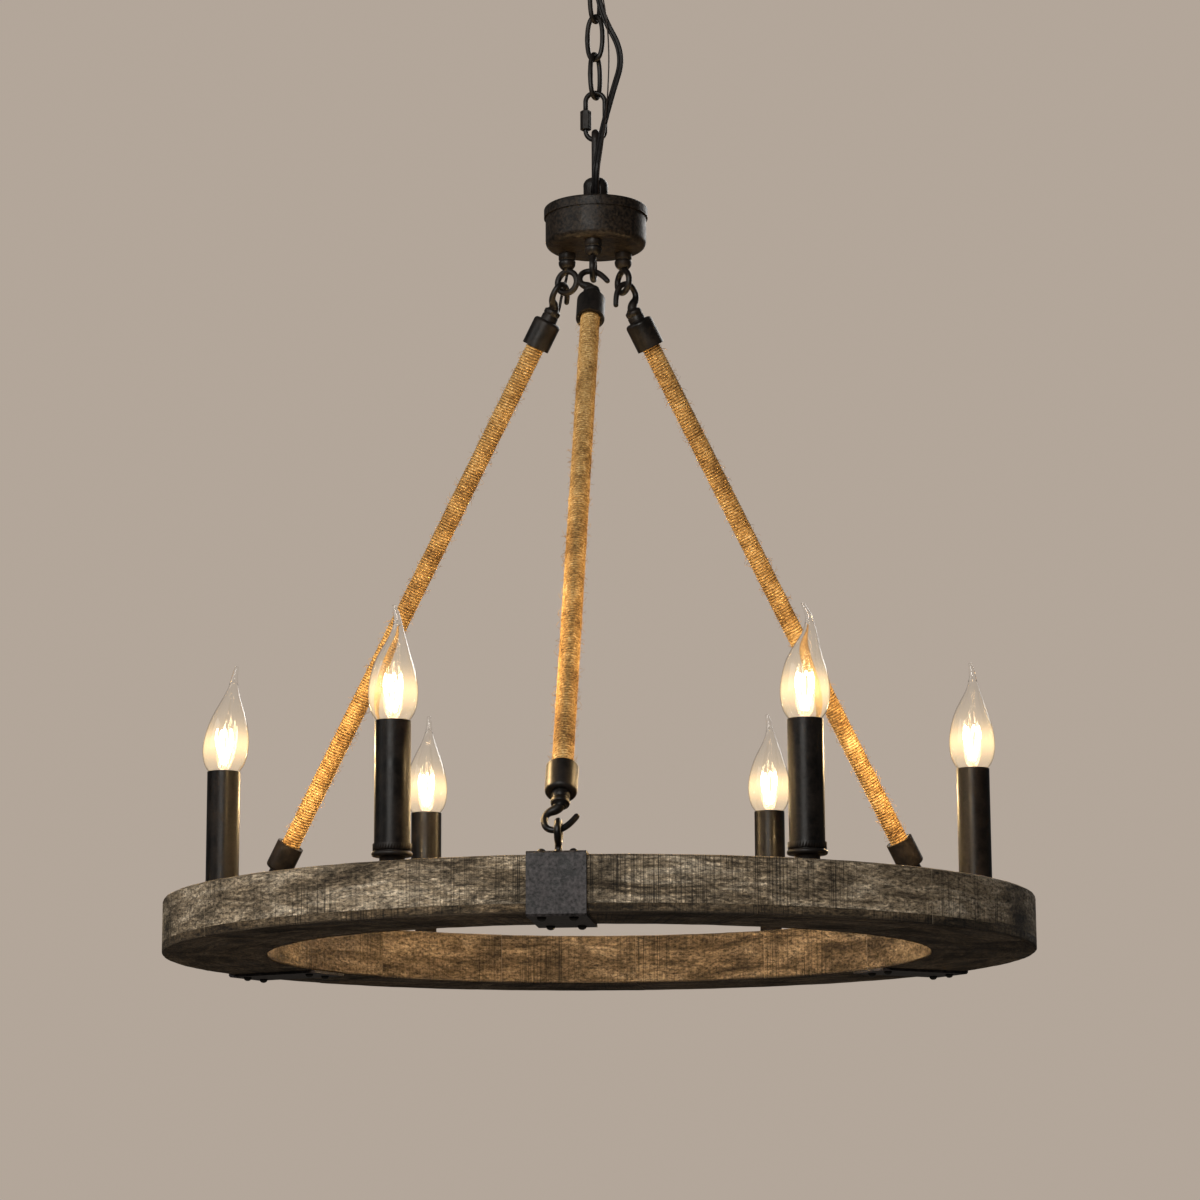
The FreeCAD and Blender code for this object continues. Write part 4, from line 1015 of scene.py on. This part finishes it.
@dataclass
class Arm:
    """One twine-bound arm with its hooks and ferrules."""

    name: str
    azimuth: float
    hub_eye_radius: float
    strap_eye_radius: float
    radial_eyes: bool
    bulge_sign: int
    twine: bpy.types.Material
    iron: bpy.types.Material
    rope_diameter: float = 15.7
    rope_start: float = 29.8
    rod_radius: float = 6.6
    twine_diameter: float = 2.3
    turn_points: int = 22
    twine_sides: int = 6
    lump_share: float = 0.44
    lump_height: float = 0.55
    fibre_count: int = 760
    fibre_margin: float = 22.0
    collar_from_eye: float = 16.5
    collar_length: float = 9.5
    hook_wire: float = 5.0
    eye_wire: float = 5.0
    hook_gap: float = 0.9

    def __post_init__(self) -> None:
        """Work out the arm's own directions."""
        hub_eye = polar(self.hub_eye_radius, self.azimuth, HUB_EYE_CENTRE)
        strap_eye = polar(self.strap_eye_radius, self.azimuth, STRAP_EYE_CENTRE)
        if self.radial_eyes:
            along = unit(strap_eye - hub_eye)
            self.top = hub_eye + along * HUB_EYE_BEND
            self.bottom = strap_eye - along * STRAP_EYE_BEND
        else:
            self.top = hub_eye - Z_AXIS * HUB_EYE_BEND
            self.bottom = strap_eye + Z_AXIS * STRAP_EYE_BEND
        self.along = unit(self.bottom - self.top)
        self.length = float(np.linalg.norm(self.bottom - self.top))
        sideways = polar(1.0, self.azimuth + 90)
        self.bulge = (sideways if self.radial_eyes else np.cross(sideways, self.along)) * self.bulge_sign

    @property
    def body(self) -> str:
        """The CAD body's name."""
        return f"{self.name}_arm"

    def place(self, local: np.ndarray, end: End) -> np.ndarray:
        """Points of an end's frame, of any grid's shape, in metres in the row frame.

        Local Z runs into the arm from the eye, local X is the hook's bulge, and local Y completes the frame.
        """
        lower = end is End.LOWER
        origin = self.bottom if lower else self.top
        z_axis = -self.along if lower else self.along
        y_axis = np.cross(z_axis, self.bulge)
        return (origin + local @ np.stack([self.bulge, y_axis, z_axis])) * MM

    def twine_tube(self) -> np.ndarray:
        """The twine's tube as a grid.

        The centre line is a helix: at turn w its angle is 2 pi w, its distance along the arm s0 + p w, and
        its radius R + small waves of w. The section is an ellipse of semi-axes 0.92 h outwards and 1.06 h
        along the arm, with h half the pitch, so that neighbouring turns press together.
        """
        pitch = self.twine_diameter
        turns = (self.length - 2 * self.rope_start - pitch) / pitch
        w = np.arange(int(turns * self.turn_points) + 1) / self.turn_points
        seed = int(abs(self.azimuth) * 10)
        random = np.random.default_rng(seed)
        phases = random.uniform(0, 2 * np.pi, 6)
        wave = sum(np.sin(w * f + p) for f, p in zip((0.21, 0.53, 1.3, 2.9, 6.8, 11.3), phases)) / 6
        slip = sum(np.sin(w * f + p) for f, p in zip((0.17, 0.41, 0.9), phases[::-1])) / 3
        half = pitch / 2
        radius = self.rope_diameter / 2 - half + 0.14 * wave
        if self.name == "front":
            radius = radius + self.lump_height * np.exp(-(((w - self.lump_share * w[-1]) / 1.4) ** 2))
        angle = 2 * np.pi * w
        height = self.rope_start + half + pitch * w + 0.35 * slip
        centre = np.stack([np.cos(angle) * radius, np.sin(angle) * radius, height], axis=1)
        outward = np.stack([np.cos(angle), np.sin(angle), 0 * angle], axis=1)
        ring = ring_section(self.twine_sides)
        size = (half * (1.0 + 0.07 * wave))[:, None, None]
        offset = ring[None, :, :1] * outward[:, None] * 0.92 + ring[None, :, 1:] * Z_AXIS * 1.06
        return centre[:, None] + size * offset

    def build_rope(self) -> None:
        """The winding, with its loose fibres, over the rod."""
        grid = self.twine_tube()
        rows, sides = grid.shape[:2]
        # The mark: 1 on the twine's outer crest, 0 on its inner side in the grooves between turns, which the
        # material darkens as painted shade.
        groove_shade_mark = (ring_section(sides)[:, 0] * 0.5 + 0.5)[None] * np.ones((rows, 1))
        draft = MeshDraft()
        long_way = rows * math.pi * self.rope_diameter / self.turn_points * MM
        draft.grid(self.place(grid, End.UPPER), (long_way, 1.0), mark=groove_shade_mark)
        rod = np.array([(self.rod_radius, self.rope_start), (self.rod_radius, self.length - self.rope_start)])
        draft.grid(self.place(revolved(rod, 24, np.zeros(3)), End.UPPER), (0.5, 0.05))
        rope = draft.build(f"{self.name}_twine", 80.0)
        place_piece(rope, self.body, Slot.TWINE, self.twine, f"{self.name}_arm_rope")
        place_piece(self.loose_fibres(), self.body, Slot.TWINE, self.twine)

    def loose_fibres(self) -> bpy.types.Object:
        """Short fibres that stand off the twine.

        Each is a thin tube on the parabola start + t * out + t^2 * droop, with three sides and four rows.
        """
        random = np.random.default_rng(int(abs(self.azimuth) * 7) + 3)
        count = self.fibre_count
        margin = self.rope_start + self.fibre_margin
        draft = MeshDraft()
        angle = random.uniform(0, 2 * np.pi, count)
        s = random.uniform(margin, self.length - margin, count)
        reach = random.uniform(0.8, 4.6, count)
        swing = random.uniform(-5.0, 5.0, (count, 2))
        outward = np.stack([np.cos(angle), np.sin(angle), 0 * angle], 1)
        around = np.stack([-np.sin(angle), np.cos(angle), 0 * angle], 1)
        start = outward * (self.rope_diameter / 2 - 0.25) + s[:, None] * Z_AXIS
        t = np.linspace(0, 1, 4)
        for k in range(count):
            bend = around[k] * swing[k, 0] + Z_AXIS * swing[k, 1]
            path = start[k] + t[:, None] * bend + (t * (2 - t))[:, None] * outward[k] * reach[k] * 0.8
            tube = sweep(path, ring_section(3), np.linspace(0.17, 0.08, 4), outward[k] + 0.01)
            draft.grid(self.place(tube, End.UPPER), (0.01, 1.0), mark=1.0)
        return draft.build(f"{self.name}_fibres", 80.0)

    def build_hook(self, end: End) -> None:
        """A forged hook that tapers from its neck to a blunt tip, on its collar."""
        arch = -(self.eye_wire + self.hook_wire) / 2 - self.hook_gap
        start, stop = self.collar_from_eye, self.collar_from_eye + self.collar_length
        control = np.array(
            [
                (0, 0, start + 1.5), (0, 0, start - 3.0), (11.0, 0, start / 2),
                (9.5, 0, arch), (-4.8, 0, arch), (-12.0, 0, 6.0),
            ]
        )
        path = quadratic_line(control, 12)
        distance = np.concatenate([[0], np.cumsum(np.linalg.norm(np.diff(path, axis=0), axis=1))])
        share = distance / distance[-1]
        taper = np.array([(0, 4.1), (0.12, 3.7), (0.27, 2.6), (0.45, 2.4), (0.8, 2.3), (1.0, 2.15)])
        radii = smooth_values(taper[:, 0], taper[:, 1], share)[:, 0]
        tip = unit(path[-1] - path[-2])
        rounds = np.array([0.5, 0.85, 1.0])
        path = np.vstack([path, path[-1] + tip * rounds[:, None] * radii[-1]])
        radii = np.concatenate([radii, radii[-1] * np.sqrt(1 - (rounds * 0.985) ** 2)])
        draft = MeshDraft()
        draft.grid(self.place(sweep(path, ring_section(18), radii, Y_AXIS), end), (0.05, 1.0))
        profile = np.array(
            [
                (2.0, start - 2.2), (3.9, start - 2.0), (4.6, start - 0.9), (5.7, start), (6.5, start + 0.45),
                (6.8, start + 1.3), (6.8, start + 3.6), (6.35, start + 4.2), (6.35, start + 4.8),
                (6.8, start + 5.4), (6.8, stop), (2.5, stop), (2.5, stop + 3.3),
            ]
        )
        draft.grid(self.place(revolved(profile, 40, np.zeros(3)), end), (0.02, 0.04))
        hook = draft.build(f"{self.name}_{end.value}_hook_dressed", 38.0)
        place_piece(hook, self.body, Slot.IRON, self.iron, f"{self.name}_arm_{end.value}_hook")

    def build(self) -> None:
        """Build the whole arm."""
        self.build_rope()
        self.build_hook(End.UPPER)
        self.build_hook(End.LOWER)
        rounded_node(f"{self.name}_arm_ferrules", self.body, Slot.IRON, self.iron, 35.0)


# --------------------------------------------------------------------------------------------------
# Rim
# --------------------------------------------------------------------------------------------------


@dataclass
class Rim:
    """Fourteen boards glued end to end, with their own grain, and the iron on them."""

    iron: bpy.types.Material
    strap_iron: bpy.types.Material
    wood: bpy.types.Material
    outer: float = 340.0
    inner: float = 258.0
    top: float = -859.2
    bottom: float = -900.2
    edge: float = 1.5
    boards: int = 14
    board_steps: int = 27
    board_gap: float = 0.12
    first_seam: float = 6.2
    cover_width: float = 30.4
    cover_depth: float = 1.6
    cover_gap: float = 0.3

    def section(self) -> np.ndarray:
        """A board's outline as (radius, height) rows, with its edges rounded and the cover strip's rebate."""
        e = self.edge
        turn = np.linspace(0, np.pi / 2, 5)
        rounds = np.stack([e * np.sin(turn), e * np.cos(turn)], 1)
        outer_top = np.array([self.outer - e, self.top - e]) + rounds
        outer_bottom = np.array([self.outer - e, self.bottom + e]) + rounds[::-1] * (1, -1)
        inner_bottom = np.array([self.inner + e, self.bottom + e]) - rounds
        inner_top = np.array([self.inner + e, self.top - e]) + rounds[::-1] * (-1, 1)
        half = self.cover_width / 2 + self.cover_gap
        near, far, floor = LIGHT_RADIUS - half, LIGHT_RADIUS + half, self.top - self.cover_depth
        rebate = np.array([(near, self.top), (near, floor), (far, floor), (far, self.top)])
        corners = [outer_top, outer_bottom, inner_bottom, inner_top, rebate]
        outline = np.vstack(corners)
        closed = np.vstack([outline, outline[:1]])
        dense = []
        for start, stop in zip(closed[:-1], closed[1:]):
            steps = max(1, int(np.linalg.norm(stop - start) // 9))
            dense.append(start + (stop - start) * (np.arange(steps) / steps)[:, None])
        return np.vstack(dense)

    def board(self, draft: MeshDraft, number: int, random: np.random.Generator) -> None:
        """Add one board.

        A point is (r cos a, r sin a, z) for the outline's (r, z) and angles a from seam to seam. Each board
        stands shy of its full size by a fraction of a millimetre, and its faces wave slightly lengthwise.
        """
        outline = self.section()
        span = 360.0 / self.boards
        gap = math.degrees(self.board_gap / self.outer)
        first = self.first_seam + number * span + gap
        last = self.first_seam + (number + 1) * span - gap
        angle = np.radians(np.linspace(first, last, self.board_steps))
        proud = random.uniform(-0.22, 0.0)
        lift = random.uniform(-0.18, 0.0)
        long_wave = 0.1 * np.sin(angle * 37 + random.uniform(0, 6))
        wave = long_wave + 0.07 * np.sin(angle * 91 + random.uniform(0, 6)) - 0.17
        middle = (self.outer + self.inner) / 2
        away = np.clip((outline[:, 0] - middle) / (self.outer - middle), -1, 1)
        radius = outline[None, :, 0] + away[None] * (proud + wave[:, None])
        level = (self.top + self.bottom) / 2
        over = np.clip((outline[:, 1] - level) / (self.top - level), -1, 1)
        height = outline[None, :, 1] + over[None] * (lift + 0.5 * wave[:, None])
        cosines, sines = np.cos(angle)[:, None], np.sin(angle)[:, None]
        grid = np.stack([radius * cosines, radius * sines, height], axis=-1) * MM
        long_way = float(angle[-1] - angle[0]) * self.outer * MM
        round_way = float(np.linalg.norm(np.diff(outline, axis=0), axis=1).sum()) * MM
        draft.grid(grid, (long_way, round_way), mark=random.uniform(0.1, 1), start=(number * long_way, 0.0))

    def build_boards(self) -> None:
        """The boards, in the two groups that the CAD nodes have."""
        random = np.random.default_rng(14)
        for group, numbers in (("back", range(0, 7)), ("front", range(7, 14))):
            draft = MeshDraft()
            for number in numbers:
                self.board(draft, number, random)
            boards = draft.build(f"rim_boards_{group}", 35.0)
            place_piece(boards, "rim", Slot.WOOD, self.wood, f"rim_staves_{group}")

    def build_cover(self) -> None:
        """The thin strip let into the top, as (r, z) corners turned about the axis."""
        near, far = LIGHT_RADIUS - self.cover_width / 2, LIGHT_RADIUS + self.cover_width / 2
        under = self.top - self.cover_depth
        profile = np.array(
            [
                (near, under), (far, under), (far, self.top - 0.15), (far - 0.3, self.top),
                (LIGHT_RADIUS, self.top), (near + 0.3, self.top), (near, self.top - 0.15),
            ]
        )
        ring = np.swapaxes(revolved(profile, 168, np.zeros(3)), 0, 1) * MM
        draft = MeshDraft()
        long_way = 2 * np.pi * LIGHT_RADIUS * MM
        # The map starts at 0.1, past the outer wall, so the strip takes the inner faces' painted shade and
        # painted lamp warmth, and over its first part the underside's painted shade.
        draft.grid(ring, (long_way, 0.066), close_rows=True, mark=0.6, start=(0.0, 0.1))
        place_piece(draft.build("cover_strip", 35.0), "rim", Slot.WOOD, self.wood, "wiring_cover")

    def build(self) -> None:
        """Build the rim's pieces."""
        self.build_boards()
        self.build_cover()
        for side in ("front", "left", "right"):
            rounded_node(f"{side}_strap", "rim", Slot.IRON, self.strap_iron, 35.0, 0.0004)
        rounded_node("strap_bolts", "rim", Slot.IRON, self.iron, 40.0)
        rounded_node("strap_eyes", "rim", Slot.IRON, self.iron, 40.0)


# --------------------------------------------------------------------------------------------------
# Lights
# --------------------------------------------------------------------------------------------------

GLASS_OUTLINE = np.array(
    [
        (6.6, -12.0), (6.9, -9.0), (8.8, -4.5), (10.5, -1.5), (12.8, 1.2), (15.0, 4.5), (17.0, 10.0),
        (17.9, 16.0), (18.0, 22.0), (17.3, 29.0), (15.6, 37.0), (12.8, 45.5), (9.5, 53.5), (6.3, 61.0),
        (4.1, 67.5), (2.7, 74.0), (2.0, 80.0), (1.4, 84.0),
    ]
)
LEAN_HEIGHTS = np.array([-12.0, 0.0, 30.0, 45.0, 66.0, 76.0, 84.5])


@dataclass
class Lights:
    """Six candle lamps: cup, sleeve, holder and a bulb with its cap, stem and filament."""

    iron: bpy.types.Material
    sleeve_iron: bpy.types.Material
    sleeve_top: float = -753.2
    wall: float = 0.7
    filament_turns: int = 9
    filament_middle: float = 20.5
    filament_reach: float = 13.5
    filament_wire: float = 0.46
    support_wire: float = 0.28
    post_wire: float = 0.25
    leans: tuple[tuple[float, ...], ...] = (
        (0, 0, -0.2, -0.4, 1.6, 1.4, 0.0),
        (0, 0, 0.0, 0.2, 1.5, 0.8, -0.9),
        (0, 0, 0.0, 0.4, 1.7, 2.0, 1.9),
        (0, 0, 2.1, 3.5, 6.2, 7.4, 9.0),
        (0, 0, 0.2, 0.5, 3.0, 2.6, 0.3),
        (0, 0, 0.2, 0.4, 4.2, 3.6, -0.7),
    )

    def axis(self, number: int, heights: np.ndarray) -> np.ndarray:
        """The bulb's bent centre line at heights above the sleeve: a smooth curve through its leans in X."""
        lean = smooth_values(LEAN_HEIGHTS, np.array(self.leans[number]), heights)
        return light_place(number, self.sleeve_top) + lean * X_AXIS

    def glass(self, number: int) -> bpy.types.Object:
        """The glass: one closed surface, from the tip down outside, round the neck's edge and up inside."""
        heights = GLASS_OUTLINE[:, 1]
        dense = np.concatenate([np.linspace(-12, 60, 40), np.linspace(61.5, 84, 22)])
        radii = smooth_values(heights, GLASS_OUTLINE[:, 0], dense)[:, 0]
        round_tip = np.linspace(0.25, 1.45, 4)
        crown = 84.0 + 0.9 * np.sin(round_tip)
        crown_radii = 1.4 * np.cos(round_tip)
        outer = np.stack([np.concatenate([radii, crown_radii]), np.concatenate([dense, crown])], 1)
        inside = dense < 71
        inner_radii = np.clip(radii[inside] - self.wall, 0.5, None)
        inner = np.stack([inner_radii, dense[inside] + 0.2], 1)
        inner = np.vstack([inner, [(0.9, 72.5), (0.25, 73.2)]])
        profile = np.vstack([outer[::-1], inner])
        centre = self.axis(number, profile[:, 1])
        # Painted glow: the mark, on the inner wall only, is high round the filament and makes the glass there
        # emit warm light.
        core = 0.75 * np.exp(-(((profile[:, 1] - 22) / 11) ** 2))
        near = core + 0.24 * np.exp(-(((profile[:, 1] - 20) / 26) ** 2))
        painted_glow_mark = np.where(np.arange(len(profile)) < len(outer), 0.0, near)
        draft = MeshDraft()
        draft.grid(revolved(profile, 56, centre) * MM, (0.2, 0.1), mark=painted_glow_mark[:, None])
        return draft.build(f"bulb_{number + 1}_clear_glass", 60.0)

    def stem(self, number: int) -> bpy.types.Object:
        """The glass stem inside the bulb: a flared tube that closes to a pinch below the filament."""
        profile = np.array(
            [
                (5.0, -10.5), (4.6, -8.0), (3.2, -4.0), (2.5, 0.0), (2.2, 5.0), (2.4, 9.0),
                (2.0, 11.5), (0.9, 12.6), (0.3, 12.9),
            ]
        )
        draft = MeshDraft()
        draft.grid(revolved(profile, 24, self.axis(number, profile[:, 1])) * MM, (0.05, 0.05))
        return draft.build(f"bulb_{number + 1}_stem", 60.0)

    def filament(self, number: int) -> tuple[bpy.types.Object, bpy.types.Object]:
        """The supports and the lit wire, strung up and down in a cage round the middle post.

        The wire's centre at turn w of W is (r cos a, r sin a, z), with a = 2 pi w / W, z = m - h cos(pi w)
        and r = 2.4 at the lower hooks, 5.6 at the upper ones and a little more between.
        """
        foot = light_place(number, self.sleeve_top)
        supports = MeshDraft()
        for side in (-1, 1):
            control = np.array([(0.9, 0, 5.0), (1.6, 0, 6.0), (2.2, 0, 6.4), (2.5, 0, 7.4)]) * (side, 1, 1)
            path = quadratic_line(control, 8) + foot
            supports.grid(sweep(path, ring_section(8), self.support_wire, Y_AXIS) * MM, (0.02, 1))
        post = np.array([(0, 0.2, 4.0), (0, 0.3, 20.0), (0, 0.3, 34.0)]) + foot
        supports.grid(sweep(post, ring_section(8), self.post_wire, Y_AXIS) * MM, (0.02, 1))
        held = supports.build(f"bulb_{number + 1}_supports", 60.0)
        w = np.linspace(0, self.filament_turns, self.filament_turns * 28 + 1)
        height = self.filament_middle - self.filament_reach * np.cos(np.pi * w)
        share = (height - self.filament_middle + self.filament_reach) / (2 * self.filament_reach)
        radius = 2.4 + 3.2 * share + 2.2 * np.sin(np.pi * share.clip(0, 1) ** 1.5)
        angle = 2 * np.pi * w / self.filament_turns
        cage = np.stack([radius * np.cos(angle), radius * np.sin(angle), height], axis=1) + foot
        aslant = np.array([0.31, 0.95, 0.02])
        wire = MeshDraft()
        wire.grid(sweep(cage, ring_section(6), self.filament_wire, aslant) * MM, (0.05, 1))
        return held, wire.build(f"bulb_{number + 1}_filament", 80.0)

    def build(self) -> None:
        """Build the six lamps."""
        clear = LampGlass().make()
        lit = Glow("lit_filament", (1.0, 0.82, 0.55, 1.0), 26.0).make()
        nickel = BareMetal("support_wire", (0.62, 0.58, 0.52, 1.0), 0.3).make()
        brass = BareMetal("cap_brass", (0.72, 0.56, 0.3, 1.0), 0.28).make()
        holder = Sheath("holder_moulding", (0.05, 0.045, 0.04, 1.0), 0.5).make()
        rounded_node("candle_cups", "rim", Slot.IRON, self.iron, 30.0)
        rounded_node("candle_sleeves", "rim", Slot.SLEEVE, self.sleeve_iron, 30.0, 0.0002)
        rounded_node("lampholders", "rim", Slot.HOLDER, holder, 30.0)
        for number in range(LIGHT_COUNT):
            body = f"bulb_{number + 1}"
            for piece, nodes in ((self.glass(number), (f"{body}_glass",)), (self.stem(number), ())):
                piece.visible_shadow = False
                place_piece(piece, body, Slot.GLASS, clear, *nodes)
            held, wire = self.filament(number)
            place_piece(held, body, Slot.ZINC, nickel)
            place_piece(wire, body, Slot.GLASS, lit)
            rounded_node(f"{body}_cap", body, Slot.CAP, brass, 30.0)


# --------------------------------------------------------------------------------------------------
# Ceiling, chain and hub
# --------------------------------------------------------------------------------------------------


@dataclass
class Hanging:
    """The ceiling's fittings, the chain and the hub, in their CAD shapes with rounded shading."""

    iron: bpy.types.Material
    hub_iron: bpy.types.Material
    link_wire: float = 4.0
    link_half_width: float = 7.3
    link_points: int = 112
    link_power: float = 2.35
    weld_rise: float = 0.07
    link_heights: tuple[tuple[float, float], ...] = ((-93.1, -130.4), (-126.1, -163.4), (-159.1, -196.4))
    link_azimuths: tuple[float, ...] = (58.0, -32.0, 58.0)

    def build_link(self, number: int, body: str) -> None:
        """One welded link: a closed tube on the superellipse |x/a|^p + |z/b|^p = 1, thicker at its weld."""
        top, bottom = self.link_heights[number - 1]
        t = np.arange(self.link_points) * 2 * np.pi / self.link_points
        power = 2 / self.link_power
        across = self.link_half_width * np.sign(np.cos(t)) * np.abs(np.cos(t)) ** power
        height = (top - bottom) / 2 * np.sign(np.sin(t)) * np.abs(np.sin(t)) ** power + (top + bottom) / 2
        azimuth = self.link_azimuths[number - 1]
        path = polar(1.0, azimuth) * across[:, None] + Z_AXIS * height[:, None]
        looped = np.vstack([path[-1:], path, path[:1]])
        weld = 1 + self.weld_rise * np.exp(-((np.angle(np.exp(1j * (t - np.pi))) / 0.1) ** 2))
        sizes = self.link_wire / 2 * np.concatenate([weld[-1:], weld, weld[:1]])
        tube = sweep(looped, ring_section(18), sizes, polar(1.0, azimuth + 90))[1:-1]
        draft = MeshDraft()
        draft.grid(tube * MM, (0.1, 0.0126), close_rows=True)
        link = draft.build(f"chain_link_{number}_dressed", 60.0)
        place_piece(link, body, Slot.IRON, self.iron, f"chain_link_{number}")

    def build(self) -> None:
        """Dress each node."""
        zinc = BareMetal("zinc_plate", (0.56, 0.56, 0.55, 1.0), 0.34).make()
        plated, painted = (Slot.ZINC, zinc), (Slot.IRON, self.iron)
        hammered = (Slot.IRON, self.hub_iron)
        for node, body, finish, sharp, bevel in (
            ("mounting_bar", "ceiling", plated, 35.0, 0.0003),
            ("threaded_nipple", "ceiling", plated, 32.0, 0.0),
            ("nipple_locknuts", "ceiling", plated, 35.0, 0.0003),
            ("canopy", "ceiling", hammered, 40.0, 0.0),
            ("canopy_collar_nut", "ceiling", painted, 35.0, 0.0),
            ("canopy_loop", "ceiling", painted, 40.0, 0.0),
            ("quick_link", "screw_link", painted, 60.0, 0.0),
            ("quick_link_sleeve", "link_sleeve", painted, 35.0, 0.0003),
            ("hub_loop", "hub", painted, 40.0, 0.0),
            ("hub_lid", "hub", hammered, 40.0, 0.0),
            ("hub_cup", "hub", hammered, 40.0, 0.0),
            ("hub_coupling", "hub", plated, 35.0, 0.0),
            ("hub_eyes", "hub", painted, 50.0, 0.0),
            ("hub_eye_nuts", "hub", painted, 35.0, 0.0),
        ):
            rounded_node(node, body, *finish, sharp, bevel)
        for number, body in enumerate(("upper_link", "middle_link", "lower_link"), start=1):
            self.build_link(number, body)


@dataclass
class ArmLead:
    """Two thin wires side by side from the hub into the left arm's ferrule."""

    arm: Arm
    diameter: float = 1.15

    def build(self) -> None:
        """Build both wires."""
        sheath = Sheath("lead_sheath", (0.005, 0.0045, 0.004, 1.0)).make()
        local = np.array([(-8.6, 5.2, 3.0), (-8.6, 0.0, 16.5), (-8.6, 0.0, 28.45)])
        inner = self.arm.place(local, End.UPPER) / MM
        route = np.vstack([[(-22.5, 22.5, -321.1), (-22.5, 22.5, -337.2)], inner])
        section = ring_section(10) * self.diameter / 2 * MM
        for number, shift in enumerate((-0.6, 0.6), start=1):
            path = spline_points(f"lead_line_{number}", (route + X_AXIS * shift) * MM)
            obj = cord_mesh(f"arm_lead_wire_{number}", path, section)
            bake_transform(obj)
            finish_cord(obj, sheath, "arm_lead")


def main() -> None:
    """Build the stage and every sub-assembly."""
    Studio().build()
    ChainCords().build()
    iron = IronPaint("dark_iron_dressed").make()
    hub_iron = IronPaint(
        "hub_iron", light=(0.024, 0.018, 0.0135, 1.0), gloss=0.14,
        dent_depth=0.0002, dent_size=0.0045, speckle=0.75,
    ).make()
    strap_iron = IronPaint(
        "strap_iron", dark=(0.006, 0.0054, 0.0057, 1.0), light=(0.07, 0.062, 0.064, 1.0),
        roughness=0.46, gloss=0.17, dent_size=0.009, speckle=0.5,
    ).make()
    sleeve_iron = IronPaint("sleeve_iron", roughness=0.36, gloss=0.13, dent_depth=0.00006).make()
    twine = HempTwine().make()
    wood = WeatheredWood().make()
    Hanging(iron, hub_iron).build()
    arms = [
        Arm("front", -94.7, 25.8, 324.0, True, -1, twine, iron),
        Arm("left", 150.0, 27.3, 326.0, True, 1, twine, iron),
        Arm("right", 31.0, 25.8, 316.0, False, -1, twine, iron),
    ]
    for arm in arms:
        arm.build()
    ArmLead(arms[1]).build()
    Rim(iron, strap_iron, wood).build()
    Lights(iron, sleeve_iron).build()


if __name__ == "__main__":
    main()
